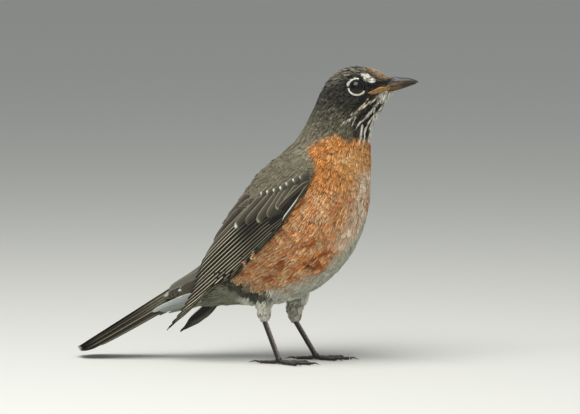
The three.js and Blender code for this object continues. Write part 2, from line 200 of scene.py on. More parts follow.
SOOT, SOOT_EDGE = linear("#11100c"), linear("#4b4738")
CROWN, CROWN_EDGE = linear("#12100c"), linear("#a09985")
FOREHEAD, FOREHEAD_EDGE = linear("#84694c"), linear("#dcc29a")
NECK_GREY = linear("#4a4735")
NECK_EDGE = linear("#7d7862")
MANTLE, MANTLE_EDGE = linear("#68614e"), linear("#938a72")
RUMP, RUMP_EDGE = linear("#5a574c"), linear("#8b8676")
ORANGE, ORANGE_EDGE = linear("#b66d28"), linear("#d59e5c")
WASH, WASH_EDGE = linear("#c99552"), linear("#f0dcb2")
RUFOUS, RUFOUS_EDGE = linear("#b0600e"), linear("#fcecbe")
DARK_RUFOUS = linear("#7c3a0c")
FLANK, FLANK_EDGE = linear("#9c5a1a"), linear("#e4cfa4")
BELLY, BELLY_EDGE = linear("#b0b09f"), linear("#c9c8bb")
VENT, VENT_EDGE = linear("#74755f"), linear("#a5a592")
WHITE = linear("#e0ddd0")
CREAM = linear("#e6d9bb")
BLACK = linear("#0c0b09")
THIGH, THIGH_EDGE = linear("#d8d7c8"), linear("#eeede3")
RUST = linear("#5f4130")
# Dark olive of the vent, also used as painted shade behind the flank and under the tail.
VENT_DARK_AND_SHADE = linear("#2b2c1e")
UNDERTAIL = linear("#969c98")
COVERT, COVERT_EDGE = linear("#38342a"), linear("#8d8673")
print("a rufous feather, in linear light:", RUFOUS.round(3))

# %% [markdown]
# ## The skin
#
# The flesh parts, from the head to the thighs and the folded arms of the wings, are joined into one
# body: each copy is swelled a little so that the hairline gaps close, the whole is remeshed into even
# small faces, and it is smoothed. That first surface is the outline of the plumage. The skin is the
# same surface drawn in by the depth of the coat, which is least on the face and on the shins.

# %% Join the flesh into one surface
FLESH = ["head", "neck", "trunk", "rump", "thigh_right", "thigh_left", "wing_right", "wing_left"]
SWELL, VOXEL, ROUNDS = 0.25, 1.0, 9  # millimetres, millimetres and rounds of smoothing


def copy_of(name):
    """A plain copy of a CAD part."""
    twin = bpy.data.objects.new(name + "_copy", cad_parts[name].data.copy())
    bpy.context.scene.collection.objects.link(twin)
    return twin


def one_surface(names, swell_by, voxel, rounds):
    """Copies of CAD parts, swelled a little, joined, remeshed into even faces and smoothed."""
    copies = [copy_of(name) for name in names]
    for twin in copies:
        edit(twin, bpy.ops.mesh.remove_doubles, threshold=0.00001)  # its triangles are loose
        swell = twin.modifiers.new("swell", "DISPLACE")
        swell.strength = swell_by * MM
        swell.mid_level = 0
        apply_all(twin)
    choose(*copies)
    if len(copies) > 1:
        bpy.ops.object.join()
    thing = bpy.context.object
    even = thing.modifiers.new("even", "REMESH")
    even.mode = "VOXEL"
    even.voxel_size = voxel * MM
    relax = thing.modifiers.new("relax", "SMOOTH")
    relax.factor = 0.5
    relax.iterations = rounds
    apply_all(thing)
    return thing


# The eyes only fill their sockets.
skin = one_surface([*FLESH, "eye_right", "eye_left"], SWELL, VOXEL, ROUNDS)
skin.name = "skin"
print("plumage outline:", len(skin.data.vertices), "points")

# %% Keep the plumage outline, then draw the skin in
outline_points = coordinates(skin)
outline_normals = point_normals(skin)
outline_faces = [tuple(face.vertices) for face in skin.data.polygons]
outline = BVHTree.FromPolygons([Vector(p) for p in outline_points], outline_faces)
face_normals = outline_normals[np.array(outline_faces)].mean(1)
face_normals /= np.linalg.norm(face_normals, axis=1)[:, None]


FACE_DEPTH, BODY_MORE, BREAST_MORE = 0.55, 0.75, 0.5  # millimetres of coat


def coat_depth(bird_points):
    """How deep the coat is at points of the bird, in millimetres."""
    x, _, z = bird_points.T
    depth = FACE_DEPTH + BODY_MORE * smooth_step(62, 40, x + 0.3 * (150 - z))
    depth += BREAST_MORE * smooth_step(140, 105, z)
    shin = smooth_step(40, 26, z) * smooth_step(-30, -22, x)
    return depth * (1 - 0.7 * shin)


depth = coat_depth(to_bird(outline_points))
drawn_in = outline_points - outline_normals * depth[:, None] * MM
move_points(skin, drawn_in)
choose(skin)
bpy.ops.object.shade_smooth()
print("coat depth from", depth.min().round(2), "to", depth.max().round(2), "mm")

# %% [markdown]
# The skin gets a flat map of its own shape. Each feather is painted from a small patch of that map at
# the place where it grows, so the map is kept for the coat too.

# %% Unwrap the skin
edit(skin, bpy.ops.uv.smart_project, angle_limit=math.radians(66), island_margin=0.004)
skin.data.uv_layers[0].name = "OFBake"
flat_map = np.empty(len(skin.data.loops) * 2, np.float32)
skin.data.uv_layers["OFBake"].data.foreach_get("uv", flat_map)
flat_map = flat_map.reshape(-1, 2)
loop_starts = np.array([face.loop_start for face in skin.data.polygons])
print("map covers", flat_map.min(0).round(3), "to", flat_map.max(0).round(3))

# %% [markdown]
# The folded wings have a chart of their own: how far along from the shoulder a point is, and how far
# round from the middle of the back, in degrees. Rays from a line inside the body find the wing's
# surface at any place on it.

# %% Wing chart
CORE_START, CORE_END = np.array([14.0, 0, 112]), np.array([-60.0, 0, 22])
core_way = (CORE_END - CORE_START) / np.linalg.norm(CORE_END - CORE_START)
core_up = np.array([core_way[2], 0, -core_way[0]])
WING_START, WING_END = -5, 86  # along the core, where the wing covers the body


def on_wing_chart(bird_points):
    """How far along and how far round the wing points of the bird are."""
    rel = bird_points - CORE_START
    return rel @ core_way, np.degrees(np.arctan2(abs(rel[:, 1]), rel @ core_up))


# Between these two lines, along and round, coverts and quills cover the wing. Above them lie the
# scapulars, which are body feathers, and below is the breast.
COVERT_LINE = [
    (-6, 108), (0.5, 98.4), (4.3, 93.2), (11.5, 87.5), (19.5, 82.1), (26.4, 71.7), (32.6, 61.6),
    (36.1, 53.2), (50, 36), (60, 26), (80, 20), (120, 14),
]
LOWER_EDGE = [
    (-6, 99), (1.0, 100.6), (6.9, 103.8), (12.2, 104.7), (28.1, 104.7), (47.7, 102.0), (64.4, 98.0),
    (80.6, 91.3), (95.5, 83.3), (104.6, 78.7),
]


def in_wing(bird_points, margin=3.0, below=1.0):
    """True where the wing's coverts and quills cover points of the bird, with margins in degrees."""
    along, round_ = on_wing_chart(bird_points)
    inside = (round_ > level_of(COVERT_LINE, along) - margin) & (round_ < level_of(LOWER_EDGE, along) + below)
    return inside & (along > WING_START) & (along < WING_END)


print("the wing's core runs", np.linalg.norm(CORE_END - CORE_START).round(1), "mm")

# %% [markdown]
# ## Markings
#
# One function answers the question "what colour are the feathers here?" for the skin and for every
# feather alike, so that the two always agree. It starts from the sooty hood and paints the neck, back,
# breast and belly over it, then adds strokes for the small marks of the face and throat. Each answer
# has two colours: the feather's own, and that of its fringe, which is paler on most of the bird.

# %% Helpers for painting
def wander(bird_points, size, seed):
    """A smooth random value from about -1 to 1 that changes over a given size in millimetres."""
    waves = np.random.default_rng(seed)
    total = np.zeros(len(bird_points))
    for _ in range(6):
        direction = waves.normal(size=3)
        direction *= 2 * math.pi / size / np.linalg.norm(direction) * waves.uniform(0.6, 1.5)
        total += np.sin(bird_points @ direction + waves.uniform(0, 6.3))
    return total / 2.6


def from_line(across, up, line):
    """Distance on the side chart from each point to a line of given points."""
    spots = np.stack([across, up], 1)
    nearest = np.full(len(spots), 1e9)
    line = np.array(line, float)
    for start, end in zip(line[:-1], line[1:]):
        run = end - start
        share = np.clip(((spots - start) @ run) / (run @ run), 0, 1)
        nearest = np.minimum(nearest, np.linalg.norm(spots - start - share[:, None] * run, axis=1))
    return nearest


def paint(colours, new, amount):
    """Mixes a new colour into an array of colours."""
    return colours + (new - colours) * np.clip(amount, 0, 1)[:, None]


def paint_coat(coat, feather, fringe, amount):
    """Mixes new feather and fringe colours into a coat's pair of colours."""
    return paint(coat[0], feather, amount), paint(coat[1], fringe, amount)

# %% Borders and strokes of the pattern
BREAST_TOP = [
    (-43.5, 46.8), (-34.2, 52.6), (-26.7, 59.0), (-22.0, 64.8), (-15.7, 72.3), (-8.7, 79.8), (-4.1, 84.5),
    (2.3, 93.8), (7.5, 103.0), (8.7, 120.4), (11.0, 123.9), (17.4, 128.0), (26.1, 130.3), (29.0, 129.7),
    (31.3, 126.5), (36.0, 127.4), (39.4, 129.4), (44.1, 128.6), (49.9, 130.3),
]
BREAST_LOW = [
    (-43.5, 57.8), (-27.3, 45.0), (-16.2, 41.6), (-2.9, 45.0), (5.8, 49.1), (17.4, 54.3), (26.1, 61.3),
    (32.5, 67.7), (38.3, 75.8), (43.5, 86.8), (47.6, 99.6), (51.0, 111.2),
]
print("borders of", len(BREAST_TOP), "and", len(BREAST_LOW), "points")

# %% Strokes of the face, throat, shoulder, flank and under-tail
STROKES = [
    # name, feather, fringe, half width, softness, line
    ("crown streaks", CROWN, CROWN_EDGE, 4.0, 2.5, [(23.2, 162.2), (31.9, 168.6), (41.8, 170.3)]),
    ("brow grizzle", SOOT_EDGE, CROWN_EDGE, 0.9, 1.0,
     [(26.7, 163.4), (30.7, 164.8), (34.2, 167.4), (38.3, 168.3), (40.6, 167.4)]),
    ("forehead", FOREHEAD, FOREHEAD_EDGE, 2.6, 4.0, [(45.8, 170.3), (51.6, 166.8), (57.4, 164.5)]),
    ("lores", BLACK, BLACK, 1.9, 0.7, [(42.9, 159.6), (49.9, 160.3)]),
    ("lores front", BLACK, SOOT, 1.1, 0.7, [(49.9, 160.5), (57.4, 162.5)]),
    ("eye patch", BLACK, BLACK, 4.4, 1.0, [(38.3, 159.6), (39.1, 159.3)]),
    ("white brow", WHITE, WHITE, 0.9, 0.6, [(41.6, 165.4), (44.5, 165.2)]),
    ("white brow low", WHITE, WHITE, 1.05, 0.6, [(43.4, 163.8), (46.3, 162.1)]),
    ("white brow end", WHITE, WHITE, 0.85, 0.6, [(44.9, 164.9), (47.9, 162.3)]),
    ("rusty edge", RUST, SOOT_EDGE, 0.3, 0.7, [(47.6, 165.1), (51.0, 162.2), (55.1, 163.1)]),
    ("cheek dark", BLACK, SOOT, 1.7, 1.6, [(44.1, 155.2), (41.8, 151.2), (37.7, 147.7)]),
    ("chin", WHITE, BELLY_EDGE, 3.6, 1.0, [(59.7, 157.0), (56.3, 154.1), (53.9, 151.2)]),
    ("throat ground", WHITE, WHITE, 3.8, 1.6, [(53.4, 150.0), (51.0, 146.0)]),
    ("throat ground low", BLACK, SOOT, 4.2, 1.6, [(48.7, 143.6), (45.8, 137.8), (44.7, 132.0)]),
    ("throat side", SOOT, NECK_GREY, 2.6, 1.5, [(42.9, 144.2), (39.4, 139.6), (38.3, 131.5)]),
    ("cream malar", CREAM, CREAM, 0.45, 0.3,
     [(50.2, 153.7), (47.1, 150.8), (44.9, 149.4), (42.7, 147.7), (40.0, 146.1), (38.2, 145.3)]),
    ("cream malar low", CREAM, CREAM, 0.2, 0.35, [(39.1, 144.1), (36.5, 142.9), (34.2, 142.6)]),
    ("pale malar end", WHITE, WHITE, 0.26, 0.35, [(36.8, 141.3), (33.3, 139.6), (30.2, 137.4)]),
    ("pale malar fork", WHITE, WHITE, 0.2, 0.35, [(37.5, 141.0), (35.6, 137.0)]),
    ("cheek line", CREAM, SOOT_EDGE, 0.25, 0.4, [(44.7, 152.1), (41.8, 148.3), (38.9, 146.5)]),
    ("throat dark 1", BLACK, BLACK, 0.5, 0.4,
     [(51.6, 152.6), (47.1, 148.6), (44.4, 145.0), (40.0, 141.0), (37.7, 138.7)]),
    ("throat white 2", WHITE, WHITE, 0.75, 0.4, [(52.3, 152.6), (49.8, 148.6), (46.6, 145.0), (43.5, 141.5)]),
    ("throat white 2 tail", WHITE, WHITE, 0.3, 0.4, [(43.5, 141.5), (40.0, 138.4), (38.0, 135.5)]),
    ("throat dark 2", BLACK, BLACK, 0.7, 0.35,
     [(51.6, 149.4), (48.9, 145.4), (47.1, 142.8), (43.5, 138.8), (42.7, 135.2), (41.8, 130.3)]),
    ("throat white 3", WHITE, WHITE, 0.5, 0.3,
     [(51.6, 147.4), (49.3, 144.2), (46.6, 141.0), (44.4, 137.9), (42.8, 133.5), (42.2, 129.0),
      (41.5, 124.5)]),
    ("throat dark 3", BLACK, BLACK, 0.62, 0.35,
     [(53.0, 148.0), (49.3, 142.4), (46.6, 138.8), (44.7, 135.2), (44.0, 130.8), (44.2, 128.0)]),
    ("throat white 4", WHITE, WHITE, 0.8, 0.3,
     [(54.2, 149.4), (51.6, 145.0), (48.1, 141.0), (46.3, 136.6), (45.8, 132.6), (45.2, 127.4)]),
    ("throat dark 4", BLACK, BLACK, 0.65, 0.35,
     [(54.5, 148.3), (50.7, 141.5), (48.7, 136.6), (47.8, 133.5), (47.2, 129.7)]),
    ("throat white 5", WHITE, WHITE, 0.42, 0.35, [(41.1, 136.6), (40.4, 131.7), (40.2, 127.4)]),
    ("throat white 6", WHITE, WHITE, 0.4, 0.35, [(47.6, 132.0), (47.0, 127.4), (46.7, 122.8)]),
    ("shoulder", MANTLE, MANTLE_EDGE, 4.6, 1.4, [(9.3, 114.1), (10.1, 112.3)]),
    ("shoulder top", MANTLE, MANTLE_EDGE, 3.2, 1.4, [(7.0, 121.6), (8.7, 117.5)]),
    ("shoulder low", MANTLE, MANTLE_EDGE, 2.0, 1.2, [(11.0, 108.8), (10.4, 104.8)]),
    # Partly painted shadow: the vent's own dark bases and the wing's shadow behind the flank are painted as
    # one dark patch.
    ("dark vent and wing shadow behind flank", VENT_DARK_AND_SHADE, VENT, 2.9, 2.6,
     [(-38.3, 46.8), (-27.3, 41.0), (-18.6, 37.5), (-15.1, 36.9)]),
    ("heel", VENT_DARK_AND_SHADE, VENT_DARK_AND_SHADE, 0.7, 0.8, [(-19.4, 35.8), (-19.4, 31.1), (-18.0, 26.5)]),
    ("chin front", WHITE, WHITE, 1.5, 0.8, [(56.8, 154.9), (60.9, 156.4)]),
    ("rufous patch 1", DARK_RUFOUS, RUFOUS, 1.2, 1.0, [(8.1, 57.2), (11.0, 55.5), (13.9, 54.3)]),
    ("rufous patch 2", DARK_RUFOUS, RUFOUS, 1.1, 1.0, [(12.2, 60.1), (15.1, 58.4), (16.8, 56.1)]),
    ("rufous patch 3", DARK_RUFOUS, RUFOUS, 0.8, 0.9, [(16.2, 61.9), (19.7, 63.6), (23.2, 63.6)]),
    ("rufous patch 4", DARK_RUFOUS, RUFOUS, 1.0, 1.0, [(-7.0, 56.6), (-3.5, 54.9), (-0.6, 54.9)]),
    ("rufous patch 5", DARK_RUFOUS, RUFOUS, 0.7, 0.9, [(0.0, 53.2), (4.6, 53.7), (8.7, 55.5)]),
    ("rufous patch 6", DARK_RUFOUS, RUFOUS, 0.9, 1.0, [(-15.1, 50.3), (-12.2, 49.1), (-8.7, 49.1)]),
    ("rufous patch 7", DARK_RUFOUS, RUFOUS, 0.6, 0.8, [(5.8, 66.5), (9.9, 67.7), (13.9, 68.8)]),
    ("tail covert ground", COVERT, RUMP, 2.6, 1.2, [(-48.7, 46.8), (-60.3, 43.3), (-71.9, 38.1)]),
    ("undertail", UNDERTAIL, WHITE, 1.9, 1.2, [(-58.0, 39.5), (-65.0, 35.5), (-71.9, 32.0)]),
    # Painted shade: a dark band along the underside of the under-tail coverts, where the tail shades them.
    ("painted shade under the tail", VENT_DARK_AND_SHADE, VENT_DARK_AND_SHADE, 1.9, 1.2, [(-54.5, 34.0), (-61.5, 30.5), (-69.6, 27.1)]),
]
print("strokes:", len(STROKES))

# %% One function for every colour
FRONT_EDGE = [(47.0, 101.9), (45.2, 90.9), (41.2, 77.5), (34.8, 67.1)]


def streaked(across, up):
    """How far the front edge of the breast is white with rufous spots, on the side chart."""
    return smooth_step(14, 3, from_line(across, up, FRONT_EDGE))


def markings(points):
    """The feather colour and the fringe colour at points of the scene."""
    bird = to_bird(points)
    across, up = chart(bird)
    x, y, z = bird.T
    rough = wander(bird, 9, 3)
    fine = wander(bird, 3.2, 4)
    coat = np.tile(SOOT, (len(bird), 1)), np.tile(SOOT_EDGE, (len(bird), 1))

    # Down the neck the soot gives way to grey-brown, then to the greyer mantle and rump.
    down_neck = ((across - 26) * -0.45 + (up - 154) * -0.9)
    neck = smooth_step(0, 22, down_neck + 1.5 * rough)
    coat = paint_coat(coat, NECK_GREY, NECK_EDGE, neck)
    mantle = smooth_step(18, 30, down_neck + rough)
    coat = paint_coat(coat, MANTLE, MANTLE_EDGE, mantle)
    rump = smooth_step(78, 62, z) * smooth_step(-20, -34, x)
    coat = paint_coat(coat, RUMP, RUMP_EDGE, rump)

    # The breast lies under its top border, and runs down to the low border, where the belly begins.
    top = level_of(BREAST_TOP, across)
    low = level_of(BREAST_LOW, across)
    breast = smooth_step(1.6, -1.6, up - top + 1.2 * fine)
    belly = smooth_step(1.5, -4.5, up - low + 1.6 * rough + 1.2 * fine)
    coat = paint_coat(coat, ORANGE, ORANGE_EDGE, breast)
    wash = breast * np.exp(-(((across - 37) / 13) ** 2 + ((up - 113) / 9) ** 2)) * 0.75
    coat = paint_coat(coat, WASH, WASH_EDGE, wash)
    lower = breast * smooth_step(108, 88, up)
    coat = paint_coat(coat, RUFOUS, RUFOUS_EDGE, lower)
    flank = breast * smooth_step(8, -14, across) * smooth_step(92, 76, up)
    coat = paint_coat(coat, FLANK, FLANK_EDGE, flank)

    # Its front edge is white and spotted, the belly pale grey, the vent darker and the thighs white, with
    # painted shade on the far one.
    streaky = breast * streaked(across, up)
    coat = paint(coat[0], CREAM, 0.75 * streaky), paint(coat[1], WHITE, streaky)
    coat = paint_coat(coat, BELLY, BELLY_EDGE, belly)
    vent = belly * smooth_step(-8, -28, x)
    coat = paint_coat(coat, VENT, VENT_EDGE, vent)
    mottle = belly * smooth_step(12, -4, x) * smooth_step(0.1, 0.9, fine) * smooth_step(30, 40, z)
    coat = paint(coat[0], MANTLE, 0.75 * mottle), coat[1]
    thigh = smooth_step(42, 37, z) * smooth_step(-30, -24, x)
    coat = paint_coat(coat, THIGH, THIGH_EDGE, thigh)
    # A dusky mottle on both thighs, plus painted shade: the far, left thigh is painted darker towards its
    # rear.
    dusky_and_far_shade = thigh * smooth_step(0.2, 0.8, 0.6 * fine + (y > 0) * smooth_step(6, -2, x))
    coat = paint(coat[0], MANTLE, 0.8 * dusky_and_far_shade), coat[1]

    # Then the ground of the wing, and the small marks one by one.
    wing = in_wing(bird) * 1.0
    coat = paint_coat(coat, COVERT, COVERT_EDGE, wing)

    for _, own, edge, half, soft, line in STROKES:
        ragged = from_line(across, up, line) + min(0.3, 0.35 * half) * fine
        amount = smooth_step(half + soft / 2, half - soft / 2, ragged)
        coat = paint_coat(coat, own, edge, amount)
    return coat


def set_tint(thing, colours):
    """Stores a colour for each of a mesh's points."""
    layer = thing.data.color_attributes.new("tint", "FLOAT_COLOR", "POINT")
    layer.data.foreach_set("color", np.c_[colours, np.ones(len(colours))].astype(np.float32).ravel())


own, edge = markings(outline_points)
set_tint(skin, own * 0.6 + edge * 0.15)
print("skin painted:", len(own), "points, mean colour", own.mean(0).round(3))

# %% [markdown]
# ## The lie of the feathers
#
# Feathers point from the bill to the tail, and turn down the throat, round the breast and along the
# thighs. A few named places each say which way feathers point there, and everywhere else the direction
# is blended from the nearest of them, as a groomer combs a coat.

# %% Combing guides
LIE = [
    # place (x, |y|, z) in millimetres, direction (x, outwards, z)
    ((58, 2, 166), (-1, 0.1, 0.35)), ((47, 3, 171.5), (-1, 0.05, 0.0)), ((32, 4, 171), (-0.88, 0.05, -0.48)),
    ((20, 4, 160), (-0.55, 0.1, -0.83)), ((12, 5, 146), (-0.6, 0.1, -0.8)), ((54, 6, 161), (-1, 0.3, -0.05)),
    ((41, 11, 169), (-1, 0, -0.12)), ((34, 12, 162), (-0.9, 0, -0.4)), ((42, 11, 154), (-0.75, 0.1, -0.66)),
    ((34, 12, 148), (-0.6, 0.1, -0.8)),
    ((26, 14, 140), (-0.4, 0.2, -0.9)), ((57, 3, 155.5), (-0.6, 0.1, -0.8)),
    ((52, 4, 146), (-0.5, 0.05, -0.87)),
    ((46, 8, 145), (-0.55, 0.1, -0.83)), ((48, 3, 130), (-0.12, 0.05, -1)),
    ((40, 13, 130), (-0.35, 0.15, -0.93)), ((47, 3, 112), (0, 0, -1)), ((38, 20, 112), (-0.2, 0.15, -0.97)),
    ((18, 24, 126), (-0.5, 0.3, -0.85)), ((2, 8, 130), (-0.72, 0.1, -0.7)), ((45, 4, 90), (-0.15, 0, -1)),
    ((34, 24, 92), (-0.4, 0.05, -0.92)), ((36, 4, 66), (-0.65, 0, -0.76)), ((22, 24, 70), (-0.62, 0, -0.78)),
    ((15, 3, 46), (-0.93, 0, -0.35)), ((5, 20, 56), (-0.85, 0, -0.52)), ((-12, 22, 62), (-0.85, 0, -0.52)),
    ((-10, 4, 36), (-0.99, 0, -0.1)), ((-40, 6, 32), (-0.98, 0, -0.1)), ((-60, 5, 30), (-0.9, 0, -0.42)),
    ((-13, 10, 115), (-0.6, 0.05, -0.8)), ((-26, 10, 97), (-0.5, 0, -0.87)), ((-38, 8, 76), (-0.45, 0, -0.9)),
    ((-48, 6, 58), (-0.65, 0, -0.76)), ((-62, 5, 46), (-0.84, 0, -0.54)), ((-76, 4, 37), (-0.84, 0, -0.54)),
    ((5, 27, 105), (-0.6, 0, -0.8)), ((-15, 28, 85), (-0.58, 0, -0.81)), ((-30, 24, 65), (-0.6, 0, -0.8)),
    ((-9, 16, 40), (-0.35, 0, -0.94)), ((-13, 13, 30), (0.05, 0, -1)),
    ((1, 13, 27), (0.1, 0, -1)), ((4, 15, 38), (-0.2, 0, -0.98)),
]
guide_places = np.array([spot for spot, _ in LIE], float)
guide_ways = np.array([way for _, way in LIE], float)


def lie(points):
    """The way feathers point at points of the scene."""
    bird = to_bird(points)
    side = np.where(bird[:, 1] < 0, -1.0, 1.0)
    mirrored = bird * (1, 0, 1) + abs(bird) * (0, 1, 0)
    apart = np.linalg.norm(mirrored[:, None] - guide_places[None], axis=2)
    weight = 1 / (apart + 2) ** 4
    way = (weight[:, :, None] * guide_ways[None]).sum(1)
    way[:, 1] *= side
    return way / np.linalg.norm(way, axis=1)[:, None]
print("combing guides:", len(LIE))

# %% [markdown]
# ## Contour feathers
#
# The feathers that clothe the body are soft: each has a few firm barbs that cling together and a loose
# hairy tip. Here each one is a fan of five to eight narrow blades, closed and ridged, that springs from
# one root. A feather walks over the skin in short steps along the lie of the coat, so it bends with the
# body, and it rises as it goes, so that its tip lies on top of the next feather's root.
#
# First come the roots: points scattered over the skin, kept apart by a distance that grows from the
# face to the back.

# %% Sizes of the feathers over the body
FROM_BILL = [0, 8, 18, 32, 50, 72]  # millimetres from the bill's root
SPACING = [0.72, 0.8, 0.98, 1.25, 1.6, 1.85]
LENGTH = [1.8, 2.5, 3.8, 5.6, 7.5, 8.5]
HALF_WIDTH = [0.36, 0.44, 0.66, 1.05, 1.55, 1.9]
EYES = np.array([to_bird([sum(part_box(name), Vector()) / 2])[0] for name in ("eye_right", "eye_left")])
print("eyes in the bird's frame, mm:", EYES.round(1).tolist())
EYE_MIDDLES = (EYES + (FRONT, 0, 0)) * MM
EYE_OPENING, EYE_CLEAR = 4.0, 5.05
PART_FROM, PART_BY, PARTING = 8.5, 6.0, 1.35  # feathers part round the eye: from and by these gaps, this much

# %% [markdown]
# At the corner of the mouth the bill's fleshy, golden gape runs back along the cheek as a bare strip.
# It is cut from a copy of the skin and given a thickness, and no feather grows on it.

# %% Bare gape
GAPE = [  # across and up the side chart, and half the strip's width
    (44.1, 155.6, 0.3), (45.8, 155.4, 0.7), (48.1, 155.7, 1.3),
    (51.6, 157.0, 1.8), (56.3, 158.1, 1.1), (59.7, 158.7, 0.6),
]


def gape_at(across):
    """The height of the gape's middle line and half its width, at places across the side chart."""
    places, levels, half_widths = np.array(GAPE).T
    return np.interp(across, places, levels), np.interp(across, places, half_widths)


def on_gape(bird_points, margin=0.0):
    """True where a point of the head lies on the bare gape."""
    across, up = chart(bird_points)
    level, half = gape_at(across)
    inside = (across > GAPE[0][0] - margin) & (abs(up - level) < half + margin)
    return inside & (abs(bird_points[:, 1]) > 1.5) & (bird_points[:, 2] > 140)


print("the gape runs", GAPE[-1][0] - GAPE[0][0], "mm along the cheek")

# %% Scatter the roots
def by_place(bird_points, sizes):
    """A feather size at points of the bird: smaller near the bill, round the eye and on the thighs."""
    x, y, z = bird_points.T
    from_bill = np.linalg.norm(bird_points - (59, 0, 162), axis=1)
    near_eye = np.minimum(*[np.linalg.norm(bird_points - eye, axis=1) for eye in EYES])
    thigh_share = smooth_step(42, 36, z) * smooth_step(-30, -24, x) * smooth_step(4, 8, abs(y))
    size = np.interp(from_bill, FROM_BILL, sizes)
    size = np.where(near_eye < 10, np.minimum(size, np.interp(near_eye, [5, 10], [sizes[1], sizes[2]])), size)
    return size + (sizes[2] * 1.15 - size) * thigh_share


def spread_over(corners, how_many):
    """Random points on triangles, as many to a square millimetre as the feathers there need."""
    areas = np.linalg.norm(np.cross(corners[:, 1] - corners[:, 0], corners[:, 2] - corners[:, 0]), axis=1)
    chance = areas / by_place(to_bird(corners.mean(1)), SPACING) ** 2
    picked = rng.choice(len(corners), how_many, p=chance / chance.sum())
    weights = rng.dirichlet((1, 1, 1), how_many)
    return (corners[picked] * weights[:, :, None]).sum(1)


def thin_out(spots, gaps):
    """Keeps points that are at least their own gap away from all that are kept before them."""
    cells, kept = {}, []
    for i, (spot, gap) in enumerate(zip(to_bird(spots), gaps)):
        level = int(round(math.log(gap) * 4))
        step = math.exp((level + 0.5) / 4)
        x, y, z = np.floor(spot / step).astype(int)
        around = [(level, x + dx, y + dy, z + dz) for dx, dy, dz in product((-1, 0, 1), repeat=3)]
        if all(sum((spot - cells[key]) ** 2) >= gap * gap for key in around if key in cells):
            cells[(level, x, y, z)] = spot
            kept.append(i)
    return np.array(kept)

# %% Roots on the skin and on the base of the bill
def triangle_corners(thing, points):
    """The corners of an object's triangles."""
    thing.data.calc_loop_triangles()
    return points[np.array([tri.vertices[:] for tri in thing.data.loop_triangles])]


ON_SKIN, ON_BILL = 130000, 9000  # roots tried
FOREHEAD_POINT = [(159.9, 55.1), (160.5, 57.7), (161.3, 59.2), (163.1, 60.3), (165.1, 56.8)]  # up, across
CHIN_POINT = [(153.5, 56.8), (157.0, 62.1)]  # up, across
BILL_BASE = [(51.0, 154.7), (61.5, 157.4)]  # across, up
spots = spread_over(triangle_corners(skin, drawn_in), ON_SKIN)

# A few grow on the base of the bill: the forehead's point runs out to the nostril, the chin's below.
for name in ("bill_upper", "bill_lower"):
    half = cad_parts[name]
    more = spread_over(triangle_corners(half, coordinates(half)), ON_BILL)
    across, up = chart(to_bird(more))
    forehead = (across < level_of(FOREHEAD_POINT, up)) & (up > FOREHEAD_POINT[0][0] - 0.1)
    chin = (across < level_of(CHIN_POINT, up)) & (up < level_of(BILL_BASE, across))
    spots = np.concatenate([spots, more[forehead | chin]])
order = rng.permutation(len(spots))
spots = spots[order]
kept = thin_out(spots, by_place(to_bird(spots), SPACING))
print("scattered roots:", len(kept))

# %% Leave out the roots where no body feather grows
FOOT_TOP = 23.5
TAIL_COVERTS_BEHIND, TAIL_COVERTS_BELOW = -52.8, 70  # the tail coverts are laid later
root_bird = to_bird(spots[kept])
eye_gap = np.minimum(*[np.linalg.norm(root_bird - eye, axis=1) for eye in EYES])
bare = (eye_gap < EYE_OPENING + 1.1) | in_wing(root_bird, 3.0, 2.4) | on_gape(root_bird, 0.1)
bare |= in_wing(root_bird, 3.0, 4.2) & (root_bird[:, 0] < -16)  # nothing spills over the wing's lower edge
bare |= (chart(root_bird)[0] < TAIL_COVERTS_BEHIND) & (root_bird[:, 2] < TAIL_COVERTS_BELOW)
bare |= root_bird[:, 2] < FOOT_TOP
roots = spots[kept[~bare]]
print("body feathers:", len(roots))

# %% [markdown]
# Each feather now walks its path, and its blades are laid along it. All feathers are worked out
# together as arrays, which takes a second where one by one would take minutes.

# %% Walk every feather over the skin
STEPS = 4
surface_points, surface_faces = [Vector(p) for p in drawn_in], list(outline_faces)
surface_normals = [face_normals]
for name in ("bill_upper", "bill_lower"):
    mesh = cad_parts[name].data
    surface_faces += [tuple(v + len(surface_points) for v in face.vertices) for face in mesh.polygons]
    surface_points += [vertex.co.copy() for vertex in mesh.vertices]
    surface_normals.append(np.array([face.normal for face in mesh.polygons]))
surface_normals = np.concatenate(surface_normals)
surface = BVHTree.FromPolygons(surface_points, surface_faces)
root_bird = to_bird(roots)
lengths = by_place(root_bird, LENGTH) * rng.uniform(0.85, 1.15, len(roots))
halves = by_place(root_bird, HALF_WIDTH) * rng.uniform(0.85, 1.15, len(roots))


def snap(points):
    """The nearest points of the skin, with its smooth normals there."""
    found = [surface.find_nearest(Vector(p)) for p in points]
    return np.array([hit[0] for hit in found]), surface_normals[[hit[2] for hit in found]]


def flat_to(ways, normals):
    """Directions laid flat on the surface."""
    return unit(ways - (ways * normals).sum(1)[:, None] * normals)


def walk(starts, lengths, sway, combed=None):
    """Paths over the skin, along the lie or a given direction: points, ways and normals at each step."""
    points, normals = snap(starts)
    path, ups = [points], [normals]
    for _ in range(STEPS):
        way = flat_to(lie(points) if combed is None else combed, normals)
        way = way + np.cross(normals, way) * sway[:, None]
        for middle in EYE_MIDDLES:  # feathers part round the eye
            out = points - middle
            gap = np.linalg.norm(out, axis=1)[:, None]
            towards = np.minimum((way * out / gap).sum(1), 0)[:, None]
            way = way - PARTING * towards * out / gap * smooth_step(PART_FROM, PART_BY, gap / MM)
        points, normals = snap(points + way * (lengths / STEPS * MM)[:, None])
        path.append(points)
        ups.append(normals)
    path, ups = np.stack(path, 1), np.stack(ups, 1)
    for middle in EYE_MIDDLES:  # nothing lies inside an eyeball
        gap = np.linalg.norm(path - middle, axis=2)[:, :, None]
        path = np.where(gap < EYE_CLEAR * MM, middle + (path - middle) * EYE_CLEAR * MM / gap, path)
    return path, unit(np.gradient(path, axis=1)), ups


paths, ways, ups = walk(roots, lengths, rng.normal(0, 0.13, len(roots)))
print("feathers walked:", paths.shape[0], "mean length, mm:", lengths.mean().round(2))

